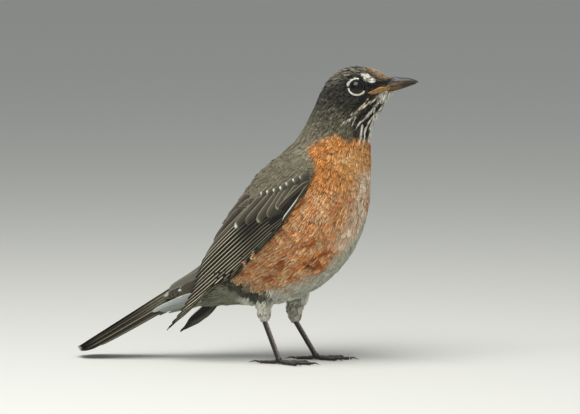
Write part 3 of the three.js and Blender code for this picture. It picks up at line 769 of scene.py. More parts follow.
# %% Colour each feather from the place where it shows
shown = paths[:, 3]
own, edge = markings(shown)
shade = rng.normal(1, 0.14, len(roots)).clip(0.6, 1.45)
fringed = rng.uniform(0, 1, len(roots)) ** 1.6  # how far each feather's fringe differs from its middle
bird_shown = to_bird(shown)
across, up = chart(bird_shown)
above_belly = up > level_of(BREAST_LOW, across)
low_breast = smooth_step(112, 96, up) * (1 - 0.45 * smooth_step(90, 80, up) * smooth_step(44, 34, across))
low_breast *= smooth_step(-26, -16, bird_shown[:, 0]) * above_belly
# Worn fringes lie pale in patches on the low breast.
patchy = (0.5 + 0.5 * wander(bird_shown, 12, 8)).clip(0, 1)
fringed = fringed * (1 - low_breast) + low_breast * fringed ** 0.3 * (0.3 + 0.7 * patchy)
calm = np.maximum(smooth_step(12, 0, bird_shown[:, 0]) * smooth_step(70, 90, up), ~above_belly)
calm *= bird_shown[:, 2] < 125  # the mantle and the belly are smooth
shade = 1 + (shade - 1) * (1 - 0.55 * calm) * (1 + 1.4 * smooth_step(140, 150, bird_shown[:, 2]))
root_map = flat_map[loop_starts[[outline.find_nearest(Vector(p))[2] for p in roots]]]
print("low breast feathers:", int((low_breast > 0.5).sum()), "of", len(roots))

# %% How far each feather's tip rises
OVER_WING, UNDER_WING = 1.6, 0.12  # millimetres, for a scapular and for a feather tucked under the wing
rump_share = smooth_step(-38, -50, root_bird[:, 0])
# The coat lies flat under the tail coverts, and flatter on the back than on the breast.
rises = coat_depth(root_bird) * rng.uniform(0.7, 1.05, len(roots)) * (1 - 0.85 * rump_share)
rises *= 1 - 0.75 * smooth_step(84, 94, up) * smooth_step(24, 10, across)
chin = (root_bird[:, 0] > 51) & (root_bird[:, 2] < 161)
rises = np.where(chin, rises * (2.2 + 1.6 * smooth_step(54, 59, root_bird[:, 0])), rises)
tip_bird = to_bird(paths[:, 4])
tucked = in_wing(tip_bird, 0.0) | in_wing(bird_shown, 0.0) | in_wing(root_bird, 0.0, 6.0)
root_along, root_round = on_wing_chart(root_bird)
scapular = (root_round < level_of(COVERT_LINE, root_along)) & (root_along > 4) & (root_along < 40)
rises = np.where(tucked, np.where(scapular, OVER_WING, UNDER_WING), rises)
# Rufous spots down the front edge of the breast.
spotted = (rng.uniform(0, 1, len(roots)) < 0.55) * streaked(across, up) * low_breast
print("feathers tucked under the wings:", int((tucked & ~scapular).sum()))

# %% Blade fans
BLADES = np.linspace(-1, 1, 8)
HEAD_BLADES = np.linspace(-0.8, 0.8, 5)
RING_AT = np.array([0.0, 0.42, 0.84, 1.0])  # share of the length at root, two rings and tip
SPREAD = np.array([0.1, 0.72, 1.0, 1.02])  # how far the fan has opened there
BLADE_HALF = np.array([0.0, 0.24, 0.2, 0.0])  # half a blade's width, as a share of the feather's
PATCH = 0.0028  # a feather's patch on the skin's map
BLADE_FACES = [
    (0, 2, 1), (0, 3, 2), (0, 1, 3), (1, 2, 5), (1, 5, 4), (2, 3, 6),
    (2, 6, 5), (3, 1, 4), (3, 4, 6), (4, 5, 7), (5, 6, 7), (6, 4, 7),
]
FRINGE_AT = np.array([0.0, 0.05, 0.35, 1.0])  # how far the fringe colour shows at root, rings and tip


def along_path(values, share):
    """Values at a share of each path, between its steps."""
    step = np.clip(share * STEPS, 0, STEPS - 1e-6)
    low = step.astype(int)
    rest = (step - low)[..., None]
    rows = np.arange(len(values))[:, None]
    return values[rows, low] * (1 - rest) + values[rows, low + 1] * rest


def fans(which, blades=BLADES, fluff=0.0, close=False, pale_share=0.1):
    """Points, faces, colours and map of the fans of the chosen feathers; close paints them blade by blade."""
    count, number = len(which), len(blades)
    jitter = rng.normal(0, 1, (count, number, 3))  # no two blades lie quite alike
    side = blades[None] + jitter[:, :, 0] * 0.1
    ends = 1 - 0.2 * side ** 2 + jitter[:, :, 1] * 0.09  # the outer blades are shorter
    rise = rises[which][:, None] + fluff * jitter[:, :, 2]
    half = halves[which][:, None]

    # Shares of the fringe's colour and of rufous, and the brightness, blade by blade.
    lively = 1 - calm[which][:, None, None]
    paler = 0.75 if pale_share > 0.2 else 0.4
    pale_blade = (rng.uniform(0, 1, (count, number)) < pale_share)[..., None] * paler * lively
    in_low_breast = low_breast[which]
    middle_blade = in_low_breast[:, None, None] * smooth_step(0.5, 0.1, abs(side))[..., None]
    spot_share = spotted[which][:, None, None] * smooth_step(0.6, 0.2, abs(side))[..., None]
    brightness = shade[which][:, None, None] * (1 + 0.13 * jitter[:, :, :1] * (0.4 + 0.6 * lively))

    # A blade is one point at its root, a triangle at each of two rings, and one point at its tip.
    pieces, tints, maps = [], [], []
    for ring, (at, spread, wide) in enumerate(zip(RING_AT, SPREAD, BLADE_HALF)):
        share = at * ends
        centre, way, normal = (along_path(values[which], share) for values in (paths, ways, ups))
        cross = unit(np.cross(normal, way))
        out = side * half * spread
        height = 0.05 + rise * share ** 0.8 - 0.1 * side ** 2 * half * spread
        middle = centre + cross * (out * MM)[..., None] + normal * (height * MM)[..., None]
        if close:
            here = centre + cross * (out * MM)[..., None]
            here_own, here_edge = (c.reshape(count, number, 3) for c in markings(here))
        else:
            here_own, here_edge = own[which][:, None], edge[which][:, None]
        blend = (FRINGE_AT[ring] + 0.35 * (ring == 2) * in_low_breast) * (0.12 + 0.88 * fringed[which])
        blend = np.maximum(blend[:, None, None] * (1 - 0.6 * middle_blade), pale_blade * (ring > 0))
        colour = here_own * (1 - blend) + here_edge * blend
        colour = (colour + (RUFOUS - colour) * spot_share) * brightness
        spot = root_map[which][:, None] + np.stack([side * 0.4, share - 0.5], 2) * PATCH
        if wide == 0:
            pieces.append(middle[:, :, None])
            tints.append(colour[:, :, None])
            maps.append(spot[:, :, None])
            continue
        reach = (wide * half * MM)[..., None] * np.ones((1, number, 1))
        ridge = normal * (0.12 * half * wide * MM + 0.00004)[..., None]
        pieces.append(np.stack([middle - cross * reach, middle + cross * reach, middle + ridge], 2))
        tints.append(np.repeat(colour[:, :, None], 3, 2))
        maps.append(np.repeat(spot[:, :, None], 3, 2) + np.array([[-0.1, 0], [0.1, 0], [0, 0]]) * PATCH)
    points = np.concatenate(pieces, 2).reshape(-1, 3)
    tint = np.concatenate(tints, 2).reshape(-1, 3)
    patches = np.concatenate(maps, 2).reshape(-1, 2)
    faces = (np.arange(count * number)[:, None, None] * 8 + np.array(BLADE_FACES)[None]).reshape(-1, 3)
    return points, faces, tint.clip(0, 1), patches


print("triangles in a blade:", len(BLADE_FACES))

# %% One mesh of many feathers
def feather_mesh(name, points, faces, tint, maps):
    """An object of points and faces that all have as many corners, with its colours and its maps."""
    mesh = bpy.data.meshes.new(name)
    mesh.vertices.add(len(points))
    mesh.vertices.foreach_set("co", points.astype(np.float32).ravel())
    mesh.loops.add(faces.size)
    mesh.loops.foreach_set("vertex_index", faces.ravel().astype(np.int32))
    mesh.polygons.add(len(faces))
    mesh.polygons.foreach_set("loop_start", np.arange(0, faces.size, faces.shape[1], dtype=np.int32))
    mesh.update(calc_edges=True)
    mesh.validate()
    thing = bpy.data.objects.new(name, mesh)
    bpy.context.scene.collection.objects.link(thing)
    set_tint(thing, tint)
    for title, spots in maps.items():
        layer = mesh.uv_layers.new(name=title)
        layer.data.foreach_set("uv", spots[faces.ravel()].astype(np.float32).ravel())
    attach(thing, "root")
    choose(thing)
    return thing


def make_feathers(name, points, faces, tint, patches):
    """One piece of the coat."""
    thing = feather_mesh(name, points, faces, tint, {"OFBake": patches})
    bpy.ops.object.shade_smooth()
    print(name, "triangles:", len(faces))
    return thing

# %% Lay the coat in regions
spilled = (in_wing(bird_shown, 0.0, 1.5) | in_wing(tip_bird, 0.0, 1.5)) & ~scapular
spilled &= (bird_shown[:, 0] < -8) & (bird_shown[:, 2] < 78)  # flank feathers that would lie over the quills
low_body = bird_shown[:, 2] < 118
front = bird_shown[:, 0] > 12
below = up < 84
nearer = bird_shown[:, 1] < 0
regions = {
    "coat_face": ~low_body & (bird_shown[:, 0] > 33),
    "coat_nape": ~low_body & (bird_shown[:, 0] <= 33),
    "coat_breast_right": low_body & front & nearer,
    "coat_breast_left": low_body & front & ~nearer,
    "coat_belly_right": low_body & ~front & below & nearer,
    "coat_belly_left": low_body & ~front & below & ~nearer,
    "coat_back_right": low_body & ~front & ~below & nearer,
    "coat_back_left": low_body & ~front & ~below & ~nearer,
}
coats = {}
for name, share in regions.items():
    which = np.flatnonzero(share & ~spilled)
    if name in ("coat_face", "coat_nape"):
        parts = fans(which, HEAD_BLADES, fluff=0.05, close=True, pale_share=0.3)
    else:
        parts = fans(which, fluff=0.08, close="breast" in name)
    coats[name] = make_feathers(name, *parts)

# %% [markdown]
# ## Flight feathers
#
# The quills of the wing and tail are firm: a shaft with a narrow outer vane and a broad inner one, each
# a closed sheet a tenth of a millimetre thick. In the folded wing they lie like the slats of a closed
# fan, each one's lower edge on top of the next, and only the pale edges show as fine lines. Every
# quill is drawn on the side view by its root, a point halfway and its tip, as millimetres forward and
# up, and is projected from there onto the wing.

# %% Smooth forms for the quills to lie on: the wings, outer faces only, and the rump with the tail
FORMS = {
    # name: CAD parts, swell, voxel, rounds of smoothing
    "right": (["wing_right", "primaries_right"], 0.3, 0.5, 12),
    "left": (["wing_left", "primaries_left"], 0.3, 0.5, 12),
    "rump": (["trunk", "rump", "tail"], 0.7, 0.8, 45),
}
forms = {}
for name, recipe in FORMS.items():
    form = one_surface(*recipe)
    centres = to_bird([face.center for face in form.data.polygons]) - CORE_START
    away = centres - (centres @ core_way)[:, None] * core_way
    kept_faces = (np.array([face.normal for face in form.data.polygons]) * away).sum(1) > 0
    kept_faces |= name == "rump"
    outer_faces = [tuple(face.vertices) for face, keep in zip(form.data.polygons, kept_faces) if keep]
    forms[name] = BVHTree.FromPolygons([v.co.copy() for v in form.data.vertices], outer_faces)
    bpy.data.objects.remove(form)
print("forms under the quills:", len(forms))

# %% Where the quills lie
FLIGHT = [f"secondary {n}" for n in range(6, 0, -1)] + [f"primary {n}" for n in range(1, 10)]
FLIGHT_LINES = [
    # root, halfway and tip along the outer edge, then the width of the outer and the inner vane
    ((-15.1, 93.8), (-39.4, 72.3), (-52.2, 57.8), 1.7, 6.0),
    ((-14.5, 92.0), (-40.0, 69.7), (-53.6, 54.9), 1.7, 6.0),
    ((-13.9, 90.3), (-40.6, 67.1), (-54.5, 52.0), 1.7, 6.0),
    ((-12.8, 88.8), (-40.6, 64.5), (-55.4, 49.1), 1.7, 6.0),
    ((-11.6, 87.4), (-40.6, 61.9), (-56.0, 46.2), 1.7, 6.0),
    ((-10.4, 86.2), (-40.6, 59.2), (-56.8, 43.3), 1.7, 6.0),
    ((-8.1, 85.6), (-40.6, 56.9), (-58.0, 40.4), 1.6, 6.0),
    ((-6.4, 85.1), (-40.6, 54.6), (-59.7, 36.9), 1.6, 6.0),
    ((-5.2, 84.2), (-40.6, 52.3), (-61.5, 33.4), 1.6, 6.0),
    ((-4.1, 83.6), (-40.6, 50.1), (-63.8, 30.0), 1.5, 6.0),
    ((-2.9, 83.3), (-40.6, 48.1), (-66.1, 26.5), 1.5, 5.5),
    ((-2.3, 83.0), (-40.6, 46.2), (-69.0, 23.0), 1.4, 5.0),
    ((-1.7, 82.7), (-40.6, 44.8), (-71.0, 20.1), 1.3, 4.5),
    ((-1.2, 82.7), (-40.6, 43.5), (-72.5, 18.4), 1.2, 4.0),
    ((-0.6, 84.5), (-40.6, 42.5), (-68.4, 21.3), 1.2, 4.0),
]
QUILLS = [
    # name, root, halfway, tip, outer vane, inner vane, height above the wing
    (name, *line, round(-0.46 - 0.01 * number, 2))
    for number, (name, line) in enumerate(zip(FLIGHT, FLIGHT_LINES))
]
QUILLS += [
    ("tertial 3", (-18.0, 92.6), (-33.1, 78.7), (-49.9, 61.3), 3.6, 4.6, -0.36),
    ("tertial 2", (-20.9, 94.3), (-31.3, 85.1), (-44.7, 70.6), 4.2, 4.8, -0.26),
    ("tertial 1", (-23.8, 96.1), (-29.6, 90.9), (-37.1, 81.6), 4.6, 4.6, -0.16),
]
COVERTS = [  # in the same columns
    ("alula 2", (11.0, 103.0), (3.5, 91.4), (-4.1, 81.6), 1.6, 2.6, -0.3),
    ("alula 1", (10.4, 104.2), (1.7, 96.7), (-6.4, 89.1), 1.5, 2.4, -0.2),
    ("primary covert 4", (8.1, 100.7), (1.2, 92.0), (-4.6, 83.9), 1.5, 3.0, -0.4),
    ("primary covert 3", (7.5, 100.7), (0.0, 92.0), (-7.0, 83.0), 1.5, 3.0, -0.38),
    ("primary covert 2", (7.0, 100.7), (-1.2, 91.4), (-9.3, 81.6), 1.6, 3.0, -0.36),
    ("primary covert 1", (6.4, 100.7), (-2.3, 90.9), (-12.2, 80.1), 1.6, 3.0, -0.34),
    ("greater covert 6", (5.2, 101.9), (1.7, 97.2), (-2.9, 91.4), 2.6, 3.4, -0.24),
    ("greater covert 5", (1.7, 101.9), (-2.9, 95.5), (-7.5, 88.2), 2.8, 3.6, -0.22),
    ("greater covert 4", (-1.7, 101.3), (-7.0, 92.6), (-12.8, 83.9), 3.0, 3.8, -0.2),
    ("greater covert 3", (-5.8, 97.8), (-12.2, 89.7), (-18.6, 80.7), 3.0, 3.8, -0.18),
    ("greater covert 2", (-10.4, 96.7), (-17.4, 89.1), (-25.5, 80.4), 3.1, 3.8, -0.16),
    ("greater covert 1", (-15.7, 95.5), (-22.6, 88.0), (-31.9, 77.5), 3.2, 3.8, -0.12),
]
TAIL_COVERTS = [
    ("under tail covert 3", (-51.6, 33.4), (-59.2, 30.8), (-70.8, 27.6), 3.4, 3.4, 0.0),
    ("under tail covert 2", (-51.6, 35.5), (-61.5, 32.3), (-75.4, 28.8), 3.4, 3.4, 0.15),
    ("under tail covert 1", (-51.6, 39.0), (-62.6, 35.2), (-80.0, 28.8), 3.2, 3.2, 0.3),
    ("upper tail covert 4", (-47.6, 46.8), (-60.3, 42.1), (-73.1, 37.2), 3.2, 3.4, 0.75),
    ("upper tail covert 3", (-46.4, 48.5), (-55.7, 44.5), (-64.7, 40.4), 3.0, 3.4, 0.85),
    ("upper tail covert 2", (-47.6, 53.2), (-58.0, 47.9), (-69.0, 41.6), 3.2, 3.2, 0.95),
    ("upper tail covert 1", (-48.1, 57.2), (-59.2, 50.8), (-71.9, 42.1), 5.5, 3.4, 1.0),
]
MEDIAN_TIPS = [
    (7.0, 104.5), (2.9, 103.0), (-1.2, 100.7), (-4.6, 98.4), (-8.7, 97.0), (-12.8, 96.1), (-16.2, 95.2),
]
MEDIAN_ROOTS = [
    (10.4, 107.7), (6.4, 106.5), (2.9, 104.5), (-0.6, 102.5), (-4.3, 100.7), (-8.4, 99.8), (-11.9, 99.3),
]
for number, (root, tip) in enumerate(zip(MEDIAN_ROOTS, MEDIAN_TIPS)):
    halfway = tuple((np.array(root) + tip) / 2)
    COVERTS.append((f"median covert {7 - number}", root, halfway, tip, 3.3, 3.2, 0.01 * number))
print("quills and coverts on each wing:", len(QUILLS), "and", len(COVERTS))

# %% Shape of one vane
ROWS = np.array([
    0, 0.05, 0.1, 0.16, 0.22, 0.29, 0.36, 0.43, 0.5, 0.57, 0.64,
    0.7, 0.76, 0.81, 0.85, 0.88, 0.91, 0.935, 0.955, 0.97, 0.985, 1.0,
])
THIN = 0.04  # half the thickness of a vane, in millimetres


def across_columns(outer, inner):
    """Places across a quill, outer vane first, from the shaft at 0."""
    outer_vane = [outer, outer - 0.34, outer - 0.48, 0.45 * outer, 0.16]
    return np.array(outer_vane + [-0.16, -0.45 * inner, 0.5 - inner, -inner])


def vane_outline(rows, blunt):
    """How much of each vane's width is there, from root to tip."""
    grow = smooth_step(-0.05, 0.16, rows) * 0.75 + 0.25
    return grow * np.sqrt(np.clip(1 - np.clip((rows - blunt) / (1.002 - blunt), 0, 1) ** 2.2, 0, 1))


print("rows and columns of a vane:", len(ROWS), "and", len(across_columns(1.7, 6.0)))

# %% From the side view onto a form
side_right = Vector((math.cos(CAMERA_ROUND), math.sin(CAMERA_ROUND), 0))
side_up = back.cross(side_right)
CHART_MIDDLE = 89.7  # the side chart's height at the middle of the frame


def onto(form, across, up):
    """A point of the side view, projected onto one of the forms."""
    start = place(0, 0, VIEW_MIDDLE) + (side_right * across + side_up * (up - CHART_MIDDLE)) * MM
    hit = forms[form].ray_cast(start + back * 0.3, -back)[0]
    return None if hit is None else np.array(hit)


def through(root, halfway, tip, rows):
    """A smooth path through three points, at shares of its length."""
    root, halfway, tip = (np.array(p, float) for p in (root, halfway, tip))
    first, second = np.linalg.norm(halfway - root), np.linalg.norm(tip - halfway)
    middle_share = first / (first + second)
    bend = (halfway - root - (tip - root) * middle_share) / (middle_share * (1 - middle_share))
    rows = rows[:, None]
    return root + (tip - root) * rows + bend * rows * (1 - rows)


print("the side view's own up, in the scene:", tuple(round(value, 2) for value in side_up))

# %% [markdown]
# A vane is a grid of points over its form. Two copies of the grid, a tenth of a millimetre apart, are
# closed by a rim into a thin solid sheet, and a rib along the middle is the shaft. All the vanes of one
# piece are gathered in one mesh, each with a cell of the map to itself.

# %% Gather vanes into one mesh
class Vanes:
    """Gathers many vanes into one mesh, with their colours, barb lines and places on the map."""

    def __init__(self, how_many):
        self.points, self.faces, self.tints, self.maps, self.barbs = [], [], [], [], []
        self.total, self.number = 0, 0
        self.cells = math.ceil(math.sqrt(how_many))

    def add(self, grid, ups, across, along, tint, ridge=0.12):
        """A vane from its grid of points, its normals there, and colours; it becomes a closed thin sheet."""
        rows, columns = grid.shape[:2]
        rib = np.exp(-(across / 0.3) ** 2) * ridge
        top = grid + ups * ((THIN + rib) * MM)[..., None]
        bottom = grid - ups * ((THIN + 0.3 * rib) * MM)[..., None]
        low = np.arange(rows * columns).reshape(rows, columns)
        a, b, c, d = low[:-1, :-1], low[:-1, 1:], low[1:, 1:], low[1:, :-1]
        quads = np.stack([a, b, c, d], -1).reshape(-1, 4)
        under = quads[:, ::-1] + rows * columns
        loop = np.concatenate([low[0], low[1:, -1], low[-1, -2::-1], low[-2:0:-1, 0]])
        after = np.roll(loop, -1)
        rim = np.stack([loop, loop + rows * columns, after + rows * columns, after], -1)
        cell = np.array([self.number % self.cells, self.number // self.cells]) / self.cells
        span = np.stack([along / max(along.max(), 1), (across - across.min()) / (np.ptp(across) + 1e-9)], -1)
        # The upper sheet has one half of the vane's cell of the map, and the lower sheet the other.
        upper = cell + (span * (0.92, 0.44) + (0.04, 0.03)) / self.cells
        lower = upper + (0, 0.49 / self.cells)
        self.points += [top.reshape(-1, 3), bottom.reshape(-1, 3)]
        self.faces.append(np.concatenate([quads, under, rim]) + self.total)
        self.tints += [tint.reshape(-1, 3), tint.reshape(-1, 3) * 0.9 + 0.012]
        self.maps += [upper.reshape(-1, 2), lower.reshape(-1, 2)]
        barb = np.stack([along - abs(across) * 1.1, abs(across)], -1).reshape(-1, 2)
        self.barbs += [barb, barb]
        self.total += rows * columns * 2
        self.number += 1

    def finish(self, name):
        """The object made of all the vanes."""
        points, faces, tint = (np.concatenate(parts) for parts in (self.points, self.faces, self.tints))
        maps = {"OFBake": np.concatenate(self.maps), "Barb": np.concatenate(self.barbs)}
        thing = feather_mesh(name, points, faces, tint.clip(0, 1), maps)
        thing.data.uv_layers["OFBake"].active_render = True
        edit(thing, bpy.ops.mesh.normals_make_consistent, inside=False)
        bpy.ops.object.shade_smooth_by_angle(angle=math.radians(60))
        print(name, "vanes:", self.number, "triangles:", len(faces) * 2)
        return thing

# %% [markdown]
# Quills are blackish brown. Secondaries and primaries have a hairline of pale buff along the outer
# edge, the tertials a paler grey outer vane, and the coverts buff-grey edges with small white tips.

# %% Colours of the quills
QUILL, QUILL_EDGE = linear("#120f0c"), linear("#cdc5a6")
TERTIAL, TERTIAL_EDGE = linear("#312d24"), linear("#99907c")
WHITE_TIPS = {
    "greater covert 1": 0.75, "greater covert 3": 0.2, "greater covert 5": 0.2, "tertial 1": 0.45,
    "upper tail covert 3": 0.5, "upper tail covert 4": 0.4, "median covert 1": 0.6, "median covert 2": 0.85,
    "median covert 3": 0.75, "median covert 4": 1.0, "median covert 5": 0.6, "median covert 6": 0.8,
    "median covert 7": 0.4,
}
GROUNDS = {
    # name or kind: ground colour, edge colour
    "secondary": (QUILL, QUILL_EDGE), "primary": (QUILL, QUILL_EDGE), "tertial": (TERTIAL, TERTIAL_EDGE),
    "primary covert": (QUILL, SOOT_EDGE), "upper": (RUMP, RUMP_EDGE),
    "upper tail covert 3": (COVERT, RUMP), "upper tail covert 4": (COVERT, RUMP_EDGE),
    # Painted shade: the under tail coverts darken from covert 1 down to covert 3, where the tail shades them,
    # over their own grey and white.
    "under tail covert 1": (UNDERTAIL * 0.85, WHITE), "under tail covert 2": (UNDERTAIL * 0.8, UNDERTAIL),
    "under tail covert 3": (VENT, VENT_EDGE),
}
EDGE_WIDE = 0.36  # millimetres of pale outer edge, fainter on the primaries near the wing's lower edge
WORN_EDGES = {"primary 6": 0.7, "primary 7": 0.4, "primary 8": 0.3, "primary 9": 0.3}


def grounds_of(name):
    """The ground and edge colours of a quill, by its own name or by its kind."""
    kind = "primary covert" if "primary covert" in name else name.split()[0]
    return GROUNDS.get(name, GROUNDS.get(kind, (COVERT, COVERT_EDGE)))


def pale_edge(name, across, along_share, outer_share, rim, inner):
    """How pale a quill is at its edges."""
    kind = name.split()[0]
    hairline = (outer_share > rim) * rng.uniform(0.6, 0.95)
    if kind in ("secondary", "primary"):
        base = 0.12 if kind == "secondary" else 0.35
        hairline = hairline * (base + (1 - base) * smooth_step(0.3, 0.5, along_share))
        hairline = hairline * smooth_step(1.0, 0.9, along_share) * WORN_EDGES.get(name, 1.0)
    if kind in ("tertial", "greater", "median"):
        hairline = np.maximum(hairline, 0.22 * smooth_step(0.1, 0.8, outer_share))
        hairline = np.maximum(hairline, 0.5 * smooth_step(0.95, 1.0, along_share) * (across > -0.3))
    return np.maximum(hairline, 0.25 * smooth_step(0.75, 1.0, -across / inner))


def white_tip(name, across, along_share, outer_share, inner):
    """How white a quill is near its tip."""
    kind = name.split()[0]
    if name == "alula 2":  # its whole outer edge, from halfway on
        return 0.9 * smooth_step(0.45, 0.95, outer_share) * smooth_step(0.35, 0.5, along_share)
    if kind == "median":  # a dash along the outer edge
        return WHITE_TIPS[name] * smooth_step(0.7, 0.8, along_share) * smooth_step(0.4, 0.7, outer_share)
    start = 0.95 if kind == "tertial" else 0.9
    at_tip = smooth_step(start, start + 0.05, along_share) * smooth_step(-0.5 * inner, 0, across)
    return WHITE_TIPS.get(name, 0) * at_tip


def quill_tint(name, across, along_share, outer, inner):
    """Colours over a quill's grid."""
    ground, edge = grounds_of(name)
    colour = np.tile(ground * rng.uniform(0.85, 1.15), across.shape + (1,))
    outer_share = across / outer
    rim = 1 - EDGE_WIDE / outer  # inside this share of the vane it is dark
    pale = pale_edge(name, across, along_share, outer_share, rim, inner)
    white = white_tip(name, across, along_share, outer_share, inner)
    colour = colour + (edge - colour) * pale[..., None]
    return colour + (WHITE - colour) * white[..., None]

# %% Put a path onto a form
def lay_on_wing(form, points, heights):
    """Points moved to a form's surface and raised by a height, with the surface's normals."""
    flat = points.reshape(-1, 3)
    found = [forms[form].find_nearest(Vector(p)) for p in flat]
    spots = np.array([hit[0] for hit in found]).reshape(points.shape)
    normals = np.array([hit[1] for hit in found]).reshape(points.shape)
    return spots + normals * (heights * MM)[..., None], normals


def project_path(form, root, halfway, tip):
    """A quill's path on the right wing or the rump, from its three points on the side view."""
    flat = through((*root, 0), (*halfway, 0), (*tip, 0), ROWS)
    found = [onto(form, across, up) for across, up, _ in flat]
    good = [i for i, spot in enumerate(found) if spot is not None]
    for i, spot in enumerate(found):
        if spot is None:  # just off the wing's edge: keep to the depth of the nearest point that is on it
            near = min(good, key=lambda j: abs(j - i))
            shift = flat[i] - flat[near]
            found[i] = found[near] + np.array(side_right * shift[0] + side_up * shift[1]) * MM
    return np.array(found)


def evened(rows, rounds=10):
    """Rows of points or directions, each drawn to the mean of its neighbours a number of times."""
    for _ in range(rounds):
        rows = np.concatenate([rows[:1], (rows[:-2] + 2 * rows[1:-1] + rows[2:]) / 4, rows[-1:]])
    return rows

# %% Lay one quill
# The far wing is closed more tightly, so its tip is one broad blade: these primaries end near one place.
CLOSED_UP = ["primary 3", "primary 4", "primary 5", "primary 6", "primary 7"]
CLOSED_TIP, CLOSED_SHARE = np.array((-71.9, 17.8)), 0.6
LEFT_DROOP = 4.4  # the left wing's tip hangs this much lower
LEFT_SAG = [(70, 0), (91, 4.5), (110, 6.5), (126, 0)]  # and its lower edge this much more, by place along
STACKED = 0.09  # each millimetre in from a quill's outer edge lies this much deeper, under its neighbour


def left_path(name, path):
    """A right wing's path mirrored onto the left wing, which hangs lower."""
    along, _ = on_wing_chart(to_bird(path))
    lower = FLIGHT.index(name) / 14 if name in FLIGHT else 0
    sag = lower * level_of(LEFT_SAG, along) * smooth_step(1.0, 0.7, ROWS)
    path = path * (1, -1, 1)
    path[:, 2] -= (LEFT_DROOP * smooth_step(70, 126, along) + sag) * MM
    return path


def tip_bluntness(name):
    """The share of a quill's length where its tip begins to narrow."""
    for kind, share in (("primary", 0.86), ("median", 0.9), ("under", 0.5)):
        if kind in name:
            return share
    return 0.8


def lay_quill(vanes, side, entry, on_rump=False):
    """Adds one quill, on the wing of a side or on the rump, to the vanes."""
    name, root, halfway, tip, outer, inner, height = entry
    hand = 1 if side == "left" else -1
    if side == "left" and name in CLOSED_UP:
        tip = tuple(np.array(tip) * (1 - CLOSED_SHARE) + CLOSED_TIP * CLOSED_SHARE)
    path = project_path("rump" if on_rump else "right", root, halfway, tip)
    if side == "left":
        path = path * (1, -1, 1) if on_rump else left_path(name, path)
    form = "rump" if on_rump else side
    path, ups = lay_on_wing(form, path, np.zeros(len(path)))
    path = evened(path) if on_rump else path
    ways = unit(np.gradient(path, axis=0))
    outward = unit(np.cross(ways, ups) * -hand)
    if name in FLIGHT:  # its points give its outer edge, and the shaft lies further in
        path = path - outward * (outer * (1 - ROWS ** 6) * MM)[:, None]
    columns = across_columns(outer, inner)
    width = vane_outline(ROWS, tip_bluntness(name))[:, None]
    across = columns[None] * width
    grid = path[:, None] + outward[:, None] * (across * MM)[..., None]
    grid, ups = lay_on_wing(form, grid, height - STACKED * (outer - across))
    if on_rump:
        grid, ups = evened(grid), unit(evened(ups))
    long = np.r_[0, np.cumsum(np.linalg.norm(np.diff(path, axis=0), axis=1))] / MM
    along, along_share = (np.repeat(rows[:, None], len(columns), 1) for rows in (long, ROWS))
    tint = quill_tint(name, across / (width + 1e-6), along_share, outer, inner)
    vanes.add(grid, ups, across, along, tint)

# %% Lay the quills on both wings
quill_things = {}
for side in ("right", "left"):
    for kind, entries in (("quills_", QUILLS), ("coverts_", COVERTS)):
        vanes = Vanes(len(entries))
        for entry in entries:
            lay_quill(vanes, side, entry)
        quill_things[kind + side] = vanes.finish(kind + side)
    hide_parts("primaries_" + side)

# %% [markdown]
# ## Tail
#
# Twelve tail feathers lie in a stack, the middle pair on top and the outermost underneath. The outer
# ones end a little short, so the closed tail has a square tip with softened corners.

# %% Shape and colours of a tail feather
TAIL_TIP = np.array([-126.9, 0, 5.7])
TAIL_SLOPE = math.radians(32.8)
TAIL_LONG, TAIL_WIDE = 78.0, 13.0
NARROWING = 0.38  # how much narrower a feather is at its root
PALE_RIM = [0.1, 0.3, 0.08, 0.6, 0.08, 0.5]  # how pale the outer edge of each pair is
SHORTER = [0, 0.6, 0.9, 1.2, 2.2, 4.0]  # and how much shorter it is, in millimetres
tail_way = np.array([math.cos(TAIL_SLOPE), 0, math.sin(TAIL_SLOPE)])
tail_up = np.array([-math.sin(TAIL_SLOPE), 0, math.cos(TAIL_SLOPE)])
to_root = 1 - ROWS
stack_step = 0.8 + 0.8 * to_root ** 0.6  # from one pair down to the next
fan_step = 1.5 - 0.2 * to_root  # and outwards
TURNED_DOWN, ARCH = 1.35, 0.004  # how far the outer edges turn down, in steps, and how the vanes arch
NARROWER_BY_PAIR = 0.035  # each pair's outer vanes are narrower than the last's


def tail_grid(pair, hand, columns, profile):
    """The grid of points of one tail feather, and its places across."""
    outwards = np.array([0, hand, 0])
    shaft = TAIL_TIP + tail_way * (to_root * TAIL_LONG + SHORTER[pair] * (1 - to_root))[:, None]
    shaft = shaft + tail_up * (-pair * stack_step - 0.12 - 0.2 * (hand > 0) * (pair > 0))[:, None]
    shaft = shaft + outwards * ((pair + 0.5) * fan_step)[:, None]
    across = columns[None] * profile
    grid = shaft[:, None] + outwards * across[..., None]
    at_edge = smooth_step(0.35, 1.0, across / (columns[0] * profile + 1e-6))
    turned_down = TURNED_DOWN * stack_step[:, None] * at_edge * smooth_step(1.02, 0.9, ROWS)[:, None]
    grid = grid - tail_up * (ARCH * across ** 2 + turned_down)[..., None]
    return (grid + (FRONT, 0, 0)) * MM, across


def tail_tint(pair, outer_share, shape):
    """The colours over one tail feather: blackish, browner at the root, with pale rims."""
    rows = ROWS[:, None]
    tint = np.tile(QUILL * 0.8 * rng.uniform(0.85, 1.15), shape + (1,))
    rim = smooth_step(0.85, 1.0, outer_share)[None] * PALE_RIM[pair] * smooth_step(1.0, 0.8, rows)
    rim = np.maximum(rim, (0.22 if pair < 3 else 0.06) * smooth_step(0.65, 0.15, rows))
    rim = np.maximum(rim, 0.15 * smooth_step(0.97, 1.0, rows))
    tint = tint + (QUILL_EDGE - tint) * rim[..., None]
    if pair == 5:  # a little white in the corners
        corner = smooth_step(0.93, 0.99, rows) * smooth_step(0.2, -0.6, outer_share)[None]
        tint = tint + (WHITE - tint) * (0.3 * corner)[..., None]
    return tint

